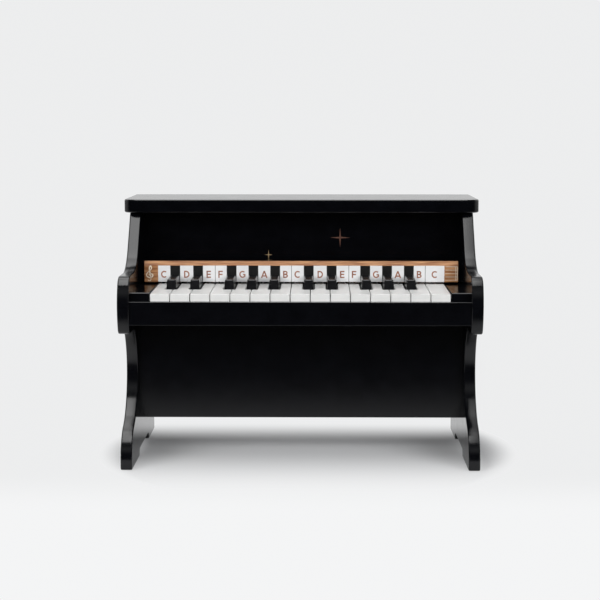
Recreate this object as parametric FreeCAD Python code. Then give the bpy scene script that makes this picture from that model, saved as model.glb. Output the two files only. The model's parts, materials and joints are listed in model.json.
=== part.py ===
import FreeCAD, Part
import math
import os

# A toy upright piano with twenty-five playable keys: fifteen white and ten black.
# Lengths are millimetres and angles degrees. X runs to the player's right, Y from the player
# to the back and Z up. While the pieces are drawn, Y is the depth behind the noses of the arms;
# the last step moves the origin to the floor under the middle of the part.

V = FreeCAD.Vector

# Case
BODY_WIDTH = 417.0             # over the outer faces of the side panels
BODY_DEPTH = 254.0             # from the noses of the arms to the rear edges of the sides
SIDE_HEIGHT = 292.0
SIDE_BOARD = 13.5
PANEL_BOARD = 9.0              # upper and lower front panel, shelf, name rail and key slip
HOUSING_DEPTH = 4.0            # how far a board's end is let into the side panels

# Outline of a side panel, from the floor up
FOOT_SETBACK = 13.0
FOOT_CORNER_RADIUS = 3.0
FRONT_FOOT_LENGTH = 77.0
REAR_FOOT_LENGTH = 66.0
ARCH_HEIGHT = 8.5
TOE_RADIUS = 42.0
WAIST_RADIUS = 67.0            # below its deepest point
UPPER_WAIST_RADIUS = 60.0
WAIST_SETBACK = 82.0           # deepest point of the waist
WAIST_HEIGHT = 110.0
KNEE_RADIUS = 12.0
ARM_UNDERSIDE_HEIGHT = 160.0
ARM_TOP_HEIGHT = 226.0
NOSE_RADIUS = 60.0
NOSE_HEIGHT = 190.0            # where the nose stands furthest forward
NOSE_BOTTOM_RADIUS = 9.0
NOSE_TOP_RADIUS = 18.0
COVE_SETBACK = 55.3            # where the cove starts to rise from the arm
COVE_RADIUS = 60.0
COVE_SLOPE = 36.3              # of the straight run above the cove, from upright

# Lid
LID_THICKNESS = 16.0
LID_FRONT_SETBACK = 126.7
LID_SIDE_OVERHANG = 7.5
LID_REAR_OVERHANG = 8.0
LID_CORNER_RADIUS = 16.0
LID_REAR_CORNER_RADIUS = 4.0
LID_EDGE_CHAMFER = 1.6
CLEAT_SIZE = 12.0              # square cleats inside the sides, under the lid

# Boards between the sides
KEYBED_HEIGHT = 171.0          # floor to underside
KEYBED_THICKNESS = 10.0
SLIP_SETBACK = 3.6
SLIP_RISE = 17.0               # key slip above the keybed
SLIP_EDGE_ROUND = 1.6
LOWER_PANEL_SETBACK = 90.5
LOWER_PANEL_FLOOR_GAP = 47.5
UPPER_PANEL_SETBACK = 167.0
BACK_PANEL_THICKNESS = 4.0
BACK_PANEL_INSET = 4.0         # behind it the sides stand proud
BATTEN_DEPTH = 12.0
BATTEN_HEIGHT = 14.0

# Note strip behind the keys
STRIP_SETBACK = 110.0
STRIP_END_GAP = 6.0            # between the strip's ends and the side panels
STRIP_HEIGHT = 25.0
STRIP_THICKNESS = 6.0
STRIP_BEVEL_HEIGHT = 5.2
STRIP_BEVEL_DEPTH = 2.4
STRIP_KEY_GAP = 2.2            # above the tops of the white keys
STRIP_RISE = 1.3               # above the shelf
NAME_RAIL_RISE = 0.4           # underside of the name rail above that of the strip

# Keyboard
WHITE_KEY_COUNTS = (3, 4, 3, 4, 1)   # between the places where two white keys meet
KEY_ROW_MARGIN = 22.5          # between the row of keys and each side panel
KEY_GAP = 0.9
KEY_REST_TILT = 0.8            # at rest the keys fall a little towards the player
KEY_DIP = 6.5                  # travel of a white key's front
KEY_FRONT_SETBACK = 14.0
KEY_TOP_RISE = 10.6            # top of a white key above the pivot
KEY_TOP_WALL = 2.2
KEY_WALL = 1.8
KEY_EDGE_ROUND = 1.3
LIP_HEIGHT = 16.5              # front of a white key
NECK_HEIGHT = 9.6              # white key beside the black ones
NECK_END_GAP = 14.0            # from the neck's rear end to the pivot
NECK_SOLID_LENGTH = 30.0       # rear stretch of the neck, over the lever
BLACK_WIDTH = 12.4
BLACK_TOP_WIDTH = 10.2
BLACK_SIDE_GAP = 1.0
BLACK_FRONT_SETBACK = 57.2
BLACK_FRONT_SLOPE = 2.6        # how far the top edge stands back
BLACK_TOP_RISE = 21.8          # top of a black key above the pivot
BLACK_EDGE_ROUND = 1.3
BLACK_STRIP_GAP = 1.2
LEVER_GAP = 4.1                # least gap between two levers
LEVER_HEIGHT = 10.0
TAIL_MARGIN = 5.0              # from the hammer's middle to the end of the tail
HAMMER_PLACE_SHARE = 0.575     # of the room between the pivot and the back panel
HAMMER_RISE = 13.0             # its crown above the pivot
HAMMER_INSET = 1.0             # from the lever's sides
HAMMER_LENGTH = 8.0
HAMMER_CREST = 3.0             # flat top between its slopes
HAMMER_CROWN = 2.0
KEY_BLOCK_GAP = 0.8
KEY_BLOCK_HEIGHT = 26.5
KEY_BLOCK_REAR_MARGIN = 12.0   # behind the pivot
KEY_BLOCK_EDGE_ROUND = 1.5

# Pivot
PIVOT_SETBACK = 128.0
PIVOT_RISE = 16.0              # above the keybed
PIVOT_DIAMETER = 4.0
PIVOT_FIT = 0.04               # radial clearance of the keys on the rod
SADDLE_SLOPE = 60.0            # of the walls of the notch by which a key rides on the rod
PIVOT_SEAT_FIT = 0.02          # radial clearance of the rod in blocks and supports
PIVOT_SEAT_DEPTH = 8.0
BALANCE_RAIL_WIDTH = 14.0
BALANCE_RAIL_HEIGHT = 7.0
SUPPORT_THICKNESS = 2.4
SUPPORT_WIDTH = 9.0

# Guides and felts
BLACK_TONGUE_WIDTH = 3.0
TONGUE_LENGTH = 5.0
TONGUE_FIT = 0.3               # between a tongue and the key walls beside it
TONGUE_ROOM = 1.5              # before, behind and above a tongue
WHITE_TONGUE_REACH = 24.0      # behind the key's front
BLACK_TONGUE_REACH = 12.0
BLACK_SLOT_DEPTH = 8.0
GUIDE_BASE_HEIGHT = 2.5
GUIDE_BASE_MARGIN = 7.0
FELT_WIDTH = 10.0
BLACK_FELT_WIDTH = 6.0
FELT_GAP = 0.1
BACK_FELT_THICKNESS = 2.5
BACK_RAIL_TO_HAMMER = 22.0     # from the rail's front to the hammers' middle
BACK_RAIL_WIDTH = 12.0

# Return springs: one comb of leaves
SPRING_SHEET = 0.6
SPRING_LEAF_INSET = 2.0        # from the lever's sides
SPRING_TIP = 3.0
SPRING_GAP = 0.1
SPRING_RAIL_GAP = 0.4          # between the leaves and the front bar rail

# Tone bars: flat steel bars on two rails, struck in the middle
BAR_THICKNESS = 3.0
BAR_END_GAP = 2.0              # between the longest bar and the back panel
BAR_HALVING_COUNT = 24         # keys over which the bars become half as long
BAR_NODE_SHARE = 0.276         # still point of a sounding bar, from its middle, of its length
LET_OFF = 0.8                  # left between a raised hammer and its bar
BAR_RAIL_WIDTH = 9.0
BAR_RAIL_HEIGHT = 7.0
BAR_FELT_THICKNESS = 1.5
PEG_SIZE = 2.6                 # square pegs: in the bars' holes behind, between the bars in front
PEG_FIT = 0.5
PEG_RISE = 2.0                 # above the bars
BAR_CLEAT_WIDTH = 14.0
BAR_CLEAT_HEIGHT = 12.0
BAR_CLEAT_MARGIN = 4.0

# Screws of the back panel
SCREW_DIAMETER = 3.0
SCREW_HEAD_DIAMETER = 6.4
SCREW_HEAD_HEIGHT = 1.8
SCREW_BITE = 8.0
SCREW_INSET = 22.0             # from the sides

OVERRUN = 1.0                  # how far a cut passes a face that it opens

# Places that follow from the sizes above
INNER_X = BODY_WIDTH / 2 - SIDE_BOARD
HOUSED_X = INNER_X + HOUSING_DEPTH
BACK_PANEL_FRONT = BODY_DEPTH - BACK_PANEL_INSET - BACK_PANEL_THICKNESS
KEYBED_TOP = KEYBED_HEIGHT + KEYBED_THICKNESS
SLIP_REAR = SLIP_SETBACK + PANEL_BOARD
PIVOT_HEIGHT = KEYBED_TOP + PIVOT_RISE
ROW_LEFT = KEY_ROW_MARGIN - INNER_X
KEY_PITCH = -2 * ROW_LEFT / sum(WHITE_KEY_COUNTS)
LEVER_PITCH = min(count * KEY_PITCH / (2 * count - 1) for count in WHITE_KEY_COUNTS)
LEVER_WIDTH = LEVER_PITCH - LEVER_GAP
PEG_HOLE = PEG_SIZE + 2 * PEG_FIT
BAR_WIDTH = LEVER_PITCH - PEG_HOLE
TAIL_ROOM = BACK_PANEL_FRONT - PIVOT_SETBACK
HAMMER_REACH = HAMMER_PLACE_SHARE * TAIL_ROOM
LONGEST_BAR = 2 * (TAIL_ROOM - BAR_END_GAP - HAMMER_REACH)
BACK_RAIL_REACH = HAMMER_REACH - BACK_RAIL_TO_HAMMER
RAIL_FRONT_REACH = HAMMER_REACH - BAR_NODE_SHARE * LONGEST_BAR - BAR_RAIL_WIDTH / 2
SPRING_REACH = RAIL_FRONT_REACH - SPRING_RAIL_GAP - SPRING_TIP
FRONT_REACH = PIVOT_SETBACK - KEY_FRONT_SETBACK
KEY_TRAVEL = math.degrees(math.asin(KEY_DIP / FRONT_REACH))
KEY_TOP_HEIGHT = PIVOT_HEIGHT + KEY_TOP_RISE
LEVER_BOTTOM = PIVOT_HEIGHT - LEVER_HEIGHT / 2
LEVER_TOP = PIVOT_HEIGHT + LEVER_HEIGHT / 2
BLACK_SLOT_WIDTH = BLACK_WIDTH + 2 * BLACK_SIDE_GAP
NOTCH_SETBACK = BLACK_FRONT_SETBACK - BLACK_SIDE_GAP
NECK_END = PIVOT_SETBACK - NECK_END_GAP
BLACK_END = STRIP_SETBACK - BLACK_STRIP_GAP
STRIP_BOTTOM = KEY_TOP_HEIGHT + STRIP_KEY_GAP
STRIP_TOP = STRIP_BOTTOM + STRIP_HEIGHT
STRIP_REAR = STRIP_SETBACK + STRIP_THICKNESS
SHELF_TOP = STRIP_TOP - STRIP_RISE
SHELF_BOTTOM = SHELF_TOP - PANEL_BOARD
SHELF_REAR = UPPER_PANEL_SETBACK + PANEL_BOARD
NAME_RAIL_BOTTOM = STRIP_BOTTOM + NAME_RAIL_RISE
NAME_RAIL_REAR = STRIP_REAR + PANEL_BOARD
KEY_BLOCK_INNER_X = -ROW_LEFT + KEY_BLOCK_GAP
WHITE_TONGUE_SETBACK = KEY_FRONT_SETBACK + WHITE_TONGUE_REACH
BLACK_TONGUE_SETBACK = BLACK_FRONT_SETBACK + BLACK_TONGUE_REACH


def key_point_height(reach, rise, angle):
    """Height of a point of a key, given behind and above the pivot, when the key is tilted."""
    turn = math.radians(angle)
    return PIVOT_HEIGHT + reach * math.sin(turn) + rise * math.cos(turn)


PRESSED_TILT = KEY_REST_TILT + KEY_TRAVEL
FRONT_FELT_TOP = key_point_height(-FRONT_REACH, KEY_TOP_RISE - LIP_HEIGHT, PRESSED_TILT) - FELT_GAP
BLACK_FELT_TOP = key_point_height(BLACK_FRONT_SETBACK - PIVOT_SETBACK, -LEVER_HEIGHT / 2,
                                  PRESSED_TILT) - FELT_GAP
BACK_FELT_TOP = key_point_height(BACK_RAIL_REACH, -LEVER_HEIGHT / 2, KEY_REST_TILT) - FELT_GAP
WHITE_TONGUE_TOP = key_point_height(WHITE_TONGUE_SETBACK - PIVOT_SETBACK,
                                    KEY_TOP_RISE - KEY_TOP_WALL, PRESSED_TILT) - TONGUE_ROOM
BLACK_TONGUE_TOP = key_point_height(BLACK_TONGUE_SETBACK - PIVOT_SETBACK,
                                    BLACK_SLOT_DEPTH - LEVER_HEIGHT / 2, PRESSED_TILT) - TONGUE_ROOM
BAR_MIDDLE = PIVOT_SETBACK + HAMMER_REACH
BAR_BOTTOM = key_point_height(HAMMER_REACH, HAMMER_RISE, PRESSED_TILT) + LET_OFF
BAR_RAIL_TOP = BAR_BOTTOM - BAR_FELT_THICKNESS
BAR_RAIL_BOTTOM = BAR_RAIL_TOP - BAR_RAIL_HEIGHT
ORIGIN_DEPTH = (BODY_DEPTH + LID_REAR_OVERHANG) / 2


def box(x0, x1, y0, y1, z0, z1):
    """Block between two corners."""
    return Part.makeBox(x1 - x0, y1 - y0, z1 - z0, V(x0, y0, z0))


def x_rod(diameter, x0, x1, y, z):
    """Round bar along X."""
    return Part.makeCylinder(diameter / 2, x1 - x0, V(x0, y, z), V(1, 0, 0))


def rounded_wire(corners, place):
    """Closed outline from (u, v, radius) corners: each corner with a radius becomes a tangent arc."""
    edges = []
    runs = []
    for index, (u, v, radius) in enumerate(corners):
        corner = place(u, v)
        before = place(*corners[index - 1][:2]).sub(corner).normalize()
        after = place(*corners[(index + 1) % len(corners)][:2]).sub(corner).normalize()
        if not radius:
            runs.append((corner, corner))
            continue
        half = before.getAngle(after) / 2
        start = corner.add(before.multiply(radius / math.tan(half)))
        end = corner.add(after.multiply(radius / math.tan(half)))
        inward = start.add(end).multiply(0.5).sub(corner).normalize()
        middle = corner.add(inward.multiply(radius / math.sin(half) - radius))
        edges.append(Part.Arc(start, middle, end).toShape())
        runs.append((start, end))
    for index, (start, _) in enumerate(runs):
        edges.append(Part.makeLine(runs[index - 1][1], start))
    return Part.Wire(Part.sortEdges(edges)[0])


def x_prism(corners, x0, x1):
    """Outline of (depth, height, radius) corners, drawn out along X."""
    wire = rounded_wire(corners, lambda u, v: V(x0, u, v))
    return Part.Face(wire).extrude(V(x1 - x0, 0, 0))


def y_prism(corners, y0, y1):
    """Outline of (x, height, radius) corners, drawn out along Y."""
    wire = rounded_wire(corners, lambda u, v: V(u, y0, v))
    return Part.Face(wire).extrude(V(0, y1 - y0, 0))


def z_prism(corners, z0, z1):
    """Outline of (x, depth, radius) corners, drawn out along Z."""
    wire = rounded_wire(corners, lambda u, v: V(u, v, z0))
    return Part.Face(wire).extrude(V(0, 0, z1 - z0))


def near(a, b):
    """True where two places are the same but for rounding errors."""
    return abs(a - b) < Part.Precision.confusion() * BODY_WIDTH


def bend(centre, radius, start, end):
    """Arc of a side outline: centre as (depth, height), angles from the rear, upwards positive."""
    points = []
    for angle in (start, (start + end) / 2, end):
        turn = math.radians(angle)
        points.append(V(0, centre[0] + radius * math.cos(turn), centre[1] + radius * math.sin(turn)))
    return Part.Arc(*points).toShape(), points[0], points[2]


def direction(centre, other):
    """Angle of the line from one centre to another."""
    return math.degrees(math.atan2(other[1] - centre[1], other[0] - centre[0]))


def side_outline():
    """Closed outline of a side panel: tangent arcs joined by straight runs."""
    corner = FOOT_CORNER_RADIUS
    arch = ARCH_HEIGHT - corner
    rear_foot = BODY_DEPTH - REAR_FOOT_LENGTH
    front_foot = FOOT_SETBACK + FRONT_FOOT_LENGTH
    waist = (WAIST_SETBACK - WAIST_RADIUS, WAIST_HEIGHT)
    upper_waist = (WAIST_SETBACK - UPPER_WAIST_RADIUS, WAIST_HEIGHT)
    toe_depth = FOOT_SETBACK + TOE_RADIUS
    toe_drop = math.sqrt((WAIST_RADIUS + TOE_RADIUS) ** 2 - (toe_depth - waist[0]) ** 2)
    toe = (toe_depth, WAIST_HEIGHT - toe_drop)
    knee_height = ARM_UNDERSIDE_HEIGHT - KNEE_RADIUS
    knee_span = math.sqrt((UPPER_WAIST_RADIUS - KNEE_RADIUS) ** 2 - (knee_height - WAIST_HEIGHT) ** 2)
    knee = (upper_waist[0] + knee_span, knee_height)
    nose = (NOSE_RADIUS, NOSE_HEIGHT)
    chin_height = ARM_UNDERSIDE_HEIGHT + NOSE_BOTTOM_RADIUS
    chin_span = math.sqrt((NOSE_RADIUS - NOSE_BOTTOM_RADIUS) ** 2 - (NOSE_HEIGHT - chin_height) ** 2)
    chin = (NOSE_RADIUS - chin_span, chin_height)
    brow_height = ARM_TOP_HEIGHT - NOSE_TOP_RADIUS
    brow_span = math.sqrt((NOSE_RADIUS - NOSE_TOP_RADIUS) ** 2 - (brow_height - NOSE_HEIGHT) ** 2)
    brow = (NOSE_RADIUS - brow_span, brow_height)
    cove = (COVE_SETBACK, ARM_TOP_HEIGHT + COVE_RADIUS)
    toe_to_waist = direction(toe, waist)
    chin_angle = direction(nose, chin) % 360
    bends = [
        bend((BODY_DEPTH - corner, corner), corner, 0, -90),
        bend((rear_foot + corner, corner), corner, -90, -180),
        bend((rear_foot - arch, corner), arch, 0, 90),
        bend((front_foot + arch, corner), arch, 90, 180),
        bend((front_foot - corner, corner), corner, 0, -90),
        bend((FOOT_SETBACK + corner, corner), corner, -90, -180),
        bend(toe, TOE_RADIUS, 180, toe_to_waist),
        bend(waist, WAIST_RADIUS, toe_to_waist - 180, 0),
        bend(upper_waist, UPPER_WAIST_RADIUS, 0, direction(upper_waist, knee)),
        bend(knee, KNEE_RADIUS, direction(upper_waist, knee), 90),
        bend(chin, NOSE_BOTTOM_RADIUS, 270, chin_angle),
        bend(nose, NOSE_RADIUS, chin_angle, direction(nose, brow)),
        bend(brow, NOSE_TOP_RADIUS, direction(nose, brow), 90),
        bend(cove, COVE_RADIUS, -90, -COVE_SLOPE),
    ]
    edges = []
    top_rear = V(0, BODY_DEPTH, SIDE_HEIGHT)
    last = top_rear
    for edge, start, end in bends:
        if not near(last.distanceToPoint(start), 0):
            edges.append(Part.makeLine(last, start))
        edges.append(edge)
        last = end
    lean = (SIDE_HEIGHT - last.z) * math.tan(math.radians(COVE_SLOPE))
    top_front = V(0, last.y + lean, SIDE_HEIGHT)
    edges += [Part.makeLine(last, top_front), Part.makeLine(top_front, top_rear)]
    return Part.Wire(edges)


def side_panel(side):
    """One side panel, with housings for the boards on its inner face."""
    outer_x = side * BODY_WIDTH / 2
    panel = Part.Face(side_outline()).extrude(V(-side * SIDE_BOARD, 0, 0))
    panel.translate(V(outer_x, 0, 0))
    x0, x1 = sorted((side * (INNER_X - OVERRUN), side * HOUSED_X))
    housings = [
        box(x0, x1, SLIP_REAR, BACK_PANEL_FRONT, KEYBED_HEIGHT, KEYBED_TOP),
        box(x0, x1, LOWER_PANEL_SETBACK, LOWER_PANEL_SETBACK + PANEL_BOARD,
            LOWER_PANEL_FLOOR_GAP, KEYBED_HEIGHT),
        box(x0, x1, STRIP_REAR, SHELF_REAR, SHELF_BOTTOM, SHELF_TOP),
        box(x0, x1, UPPER_PANEL_SETBACK, SHELF_REAR, SHELF_TOP, SIDE_HEIGHT + OVERRUN),
    ]
    return panel.cut(housings).removeSplitter()


def lid():
    """Top board with round front corners and chamfered edges."""
    x = BODY_WIDTH / 2 + LID_SIDE_OVERHANG
    y0 = LID_FRONT_SETBACK
    y1 = BODY_DEPTH + LID_REAR_OVERHANG
    plan = [(-x, y0, LID_CORNER_RADIUS), (x, y0, LID_CORNER_RADIUS),
            (x, y1, LID_REAR_CORNER_RADIUS), (-x, y1, LID_REAR_CORNER_RADIUS)]
    board = z_prism(plan, SIDE_HEIGHT, SIDE_HEIGHT + LID_THICKNESS)
    rims = [edge for edge in board.Edges if near(edge.BoundBox.ZLength, 0)]
    return board.makeChamfer(LID_EDGE_CHAMFER, rims)


def lid_cleats():
    """Square strips glued under the lid and against the sides, behind the upper front panel."""
    cleats = []
    for side in (-1, 1):
        x0, x1 = sorted((side * (INNER_X - CLEAT_SIZE), side * INNER_X))
        cleats.append(box(x0, x1, SHELF_REAR, BACK_PANEL_FRONT - BATTEN_DEPTH,
                          SIDE_HEIGHT - CLEAT_SIZE, SIDE_HEIGHT))
    return cleats


def back_panel_screws():
    """Screws through the back panel into the keybed and the batten, driven towards the player."""
    head_y = BACK_PANEL_FRONT + BACK_PANEL_THICKNESS
    length = BACK_PANEL_THICKNESS + SCREW_BITE
    rearwards = V(0, 1, 0)
    screws = []
    for z in (KEYBED_HEIGHT + KEYBED_THICKNESS / 2, SIDE_HEIGHT - BATTEN_HEIGHT / 2):
        for x in (SCREW_INSET - INNER_X, INNER_X - SCREW_INSET):
            tip = V(x, head_y - length, z)
            shank = Part.makeCylinder(SCREW_DIAMETER / 2, length, tip, rearwards)
            head = Part.makeCylinder(SCREW_HEAD_DIAMETER / 2, SCREW_HEAD_HEIGHT, V(x, head_y, z), rearwards)
            screws.append(shank.fuse(head))
    return screws


def back_panel():
    """Thin board that closes the action box behind."""
    board = box(-INNER_X, INNER_X, BACK_PANEL_FRONT, BACK_PANEL_FRONT + BACK_PANEL_THICKNESS,
                KEYBED_HEIGHT, SIDE_HEIGHT)
    return board.cut(back_panel_screws())


def top_batten():
    """Strip under the lid that takes the back panel's upper screws."""
    board = box(-INNER_X, INNER_X, BACK_PANEL_FRONT - BATTEN_DEPTH, BACK_PANEL_FRONT,
                SIDE_HEIGHT - BATTEN_HEIGHT, SIDE_HEIGHT)
    return board.cut(back_panel_screws())


def keybed():
    """Board that carries the keyboard, let into both sides."""
    board = box(-HOUSED_X, HOUSED_X, SLIP_REAR, BACK_PANEL_FRONT, KEYBED_HEIGHT, KEYBED_TOP)
    return board.cut(back_panel_screws())


def key_slip():
    """Rail in front of the keys, rounded along its upper edges."""
    top = KEYBED_TOP + SLIP_RISE
    profile = [(SLIP_SETBACK, KEYBED_HEIGHT, 0), (SLIP_SETBACK, top, SLIP_EDGE_ROUND),
               (SLIP_REAR, top, SLIP_EDGE_ROUND), (SLIP_REAR, KEYBED_HEIGHT, 0)]
    return x_prism(profile, -INNER_X, INNER_X)


def lower_front_panel():
    """Knee panel under the keybed, let into both sides."""
    return box(-HOUSED_X, HOUSED_X, LOWER_PANEL_SETBACK, LOWER_PANEL_SETBACK + PANEL_BOARD,
               LOWER_PANEL_FLOOR_GAP, KEYBED_HEIGHT)


def upper_front_panel():
    """Panel above the keys, standing on the shelf and let into both sides."""
    return box(-HOUSED_X, HOUSED_X, UPPER_PANEL_SETBACK, SHELF_REAR, SHELF_TOP, SIDE_HEIGHT)


def action_shelf():
    """Board over the key tails, from the note strip to the upper front panel."""
    return box(-HOUSED_X, HOUSED_X, STRIP_REAR, SHELF_REAR, SHELF_BOTTOM, SHELF_TOP)


def name_rail():
    """Rail behind the note strip, which clamps the spring comb up against the shelf."""
    top = SHELF_BOTTOM - SPRING_SHEET
    return box(-INNER_X, INNER_X, STRIP_REAR, NAME_RAIL_REAR, NAME_RAIL_BOTTOM, top)


def note_strip():
    """Printed wood strip with a bevel along its upper front edge."""
    shoulder = STRIP_TOP - STRIP_BEVEL_HEIGHT
    profile = [(STRIP_SETBACK, STRIP_BOTTOM, 0), (STRIP_SETBACK, shoulder, 0),
               (STRIP_SETBACK + STRIP_BEVEL_DEPTH, STRIP_TOP, 0),
               (STRIP_REAR, STRIP_TOP, 0), (STRIP_REAR, STRIP_BOTTOM, 0)]
    end = INNER_X - STRIP_END_GAP
    return x_prism(profile, -end, end)


def key_block(side):
    """Block that fills the end of the keyboard and holds the end of the pivot rod."""
    x0, x1 = sorted((side * KEY_BLOCK_INNER_X, side * INNER_X))
    top = KEYBED_TOP + KEY_BLOCK_HEIGHT
    rear = PIVOT_SETBACK + KEY_BLOCK_REAR_MARGIN
    profile = [(KEY_FRONT_SETBACK, KEYBED_TOP, 0), (KEY_FRONT_SETBACK, top, KEY_BLOCK_EDGE_ROUND),
               (rear, top, 0), (rear, KEYBED_TOP, 0)]
    block = x_prism(profile, x0, x1)
    reach = KEY_BLOCK_INNER_X + PIVOT_SEAT_DEPTH
    seat = PIVOT_DIAMETER + 2 * PIVOT_SEAT_FIT
    return block.cut(x_rod(seat, -reach, reach, PIVOT_SETBACK, PIVOT_HEIGHT))


def keyboard_layout():
    """Each key from left to right as (node, left, right, neck left, neck right, lever middle)."""
    letters = "cdefgab"
    half = BLACK_WIDTH / 2
    keys = []
    whites_before = 0
    for whites in WHITE_KEY_COUNTS:
        group_x = ROW_LEFT + whites_before * KEY_PITCH
        slots = 2 * whites - 1
        slot_width = whites * KEY_PITCH / slots
        for slot in range(slots):
            middle = group_x + (slot + 0.5) * slot_width
            white = slot // 2
            octave, step = divmod(whites_before + white, len(letters))
            note = letters[step]
            if slot % 2:
                name = "black_key_%ss%d" % (note, octave + 1)
                keys.append((name, middle - half, middle + half, middle - half, middle + half, middle))
                continue
            left = group_x + white * KEY_PITCH + KEY_GAP / 2
            right = group_x + (white + 1) * KEY_PITCH - KEY_GAP / 2
            to_cut = slot_width - BLACK_SLOT_WIDTH / 2
            neck_left = left if slot == 0 else middle - to_cut
            neck_right = right if slot == slots - 1 else middle + to_cut
            name = "white_key_%s%d" % (note, octave + 1)
            keys.append((name, left, right, neck_left, neck_right, middle))
        whites_before += whites
    return keys


def lever(front):
    """Bar of a key from under its visible part to the tail, with its hammer."""
    half = LEVER_WIDTH / 2
    middle = PIVOT_SETBACK + HAMMER_REACH
    bar = box(-half, half, front, middle + TAIL_MARGIN, LEVER_BOTTOM, LEVER_TOP)
    crown = PIVOT_HEIGHT + HAMMER_RISE
    y0 = middle - HAMMER_LENGTH / 2
    y1 = middle + HAMMER_LENGTH / 2
    y2 = middle - HAMMER_CREST / 2
    y3 = middle + HAMMER_CREST / 2
    shoulder = crown - HAMMER_CROWN
    profile = [(y0, PIVOT_HEIGHT, 0), (y0, shoulder, 0), (y2, crown, 0), (y3, crown, 0),
               (y1, shoulder, 0), (y1, PIVOT_HEIGHT, 0)]
    return bar.fuse(x_prism(profile, HAMMER_INSET - half, half - HAMMER_INSET))


def finished_key(key, middle):
    """Cut the notch that rides on the pivot rod, tilt the key to rest and set it in its place."""
    x = LEVER_WIDTH / 2 + OVERRUN
    radius = PIVOT_DIAMETER / 2 + PIVOT_FIT
    slope = math.radians(SADDLE_SLOPE)
    apex = PIVOT_HEIGHT + radius / math.cos(slope)
    bottom = LEVER_BOTTOM - OVERRUN
    half = (apex - bottom) / math.tan(slope)
    notch = [(PIVOT_SETBACK - half, bottom, 0), (PIVOT_SETBACK, apex, radius),
             (PIVOT_SETBACK + half, bottom, 0)]
    key = key.cut(x_prism(notch, -x, x)).removeSplitter()
    key.rotate(V(0, PIVOT_SETBACK, PIVOT_HEIGHT), V(1, 0, 0), KEY_REST_TILT)
    key.translate(V(middle, 0, 0))
    return key


def white_key(left, right, neck_left, neck_right):
    """Hollow moulded head and neck on a solid lever; x is measured from the lever's middle."""
    top = KEY_TOP_HEIGHT
    ceiling = top - KEY_TOP_WALL
    lip_bottom = top - LIP_HEIGHT
    solid_from = NECK_END - NECK_SOLID_LENGTH
    profile = [(KEY_FRONT_SETBACK, lip_bottom, 0), (KEY_FRONT_SETBACK, top, KEY_EDGE_ROUND),
               (NOTCH_SETBACK, top, 0), (NOTCH_SETBACK, lip_bottom, 0)]
    head = x_prism(profile, left, right)
    neck = box(neck_left, neck_right, NOTCH_SETBACK - KEY_WALL, NECK_END, top - NECK_HEIGHT, top)
    hollows = [box(left + KEY_WALL, right - KEY_WALL, KEY_FRONT_SETBACK + KEY_WALL,
                   NOTCH_SETBACK - KEY_WALL, lip_bottom - OVERRUN, ceiling),
               box(neck_left + KEY_WALL, neck_right - KEY_WALL, NOTCH_SETBACK - KEY_WALL - OVERRUN,
                   solid_from, lip_bottom - OVERRUN, ceiling)]
    return head.fuse([neck, lever(solid_from)]).cut(hollows)


def black_key():
    """Drafted block with rounded upper edges on a solid lever; x is measured from its middle."""
    top = PIVOT_HEIGHT + BLACK_TOP_RISE
    half = BLACK_WIDTH / 2
    top_half = BLACK_TOP_WIDTH / 2
    front = BLACK_FRONT_SETBACK
    section = [(-half, LEVER_TOP, 0), (-top_half, top, BLACK_EDGE_ROUND),
               (top_half, top, BLACK_EDGE_ROUND), (half, LEVER_TOP, 0)]
    profile = [(front, LEVER_TOP, 0), (front + BLACK_FRONT_SLOPE, top, BLACK_EDGE_ROUND),
               (BLACK_END, top, 0), (BLACK_END, LEVER_TOP, 0)]
    block = y_prism(section, front, BLACK_END).common(x_prism(profile, -half, half))
    half_slot = BLACK_TONGUE_WIDTH / 2 + TONGUE_FIT
    reach = TONGUE_LENGTH / 2 + TONGUE_ROOM
    slot = box(-half_slot, half_slot, BLACK_TONGUE_SETBACK - reach, BLACK_TONGUE_SETBACK + reach,
               LEVER_BOTTOM - OVERRUN, LEVER_BOTTOM + BLACK_SLOT_DEPTH)
    return block.fuse(lever(front)).cut(slot)


def support_places():
    """X of the pivot supports, between the groups of keys."""
    places = []
    whites = 0
    for group in WHITE_KEY_COUNTS[:-1]:
        whites += group
        places.append(ROW_LEFT + whites * KEY_PITCH)
    return places


def pivot_rod():
    """Steel rod that all keys turn on."""
    reach = KEY_BLOCK_INNER_X + PIVOT_SEAT_DEPTH
    return x_rod(PIVOT_DIAMETER, -reach, reach, PIVOT_SETBACK, PIVOT_HEIGHT)


def pivot_supports():
    """Plates that stand on the keybed in slots of the balance rail and cradle the rod between keys."""
    plates = []
    half = SUPPORT_WIDTH / 2
    seat = PIVOT_DIAMETER + 2 * PIVOT_SEAT_FIT
    for x in support_places():
        x0 = x - SUPPORT_THICKNESS / 2
        x1 = x0 + SUPPORT_THICKNESS
        plate = box(x0, x1, PIVOT_SETBACK - half, PIVOT_SETBACK + half, KEYBED_TOP, PIVOT_HEIGHT)
        plates.append(plate.cut(x_rod(seat, x0, x1, PIVOT_SETBACK, PIVOT_HEIGHT)))
    return plates


def balance_rail():
    """Wood strip under the pivot, slotted for the supports."""
    y0 = PIVOT_SETBACK - BALANCE_RAIL_WIDTH / 2
    rail = box(-KEY_BLOCK_INNER_X, KEY_BLOCK_INNER_X, y0, y0 + BALANCE_RAIL_WIDTH,
               KEYBED_TOP, KEYBED_TOP + BALANCE_RAIL_HEIGHT)
    return rail.cut(pivot_supports())


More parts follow.
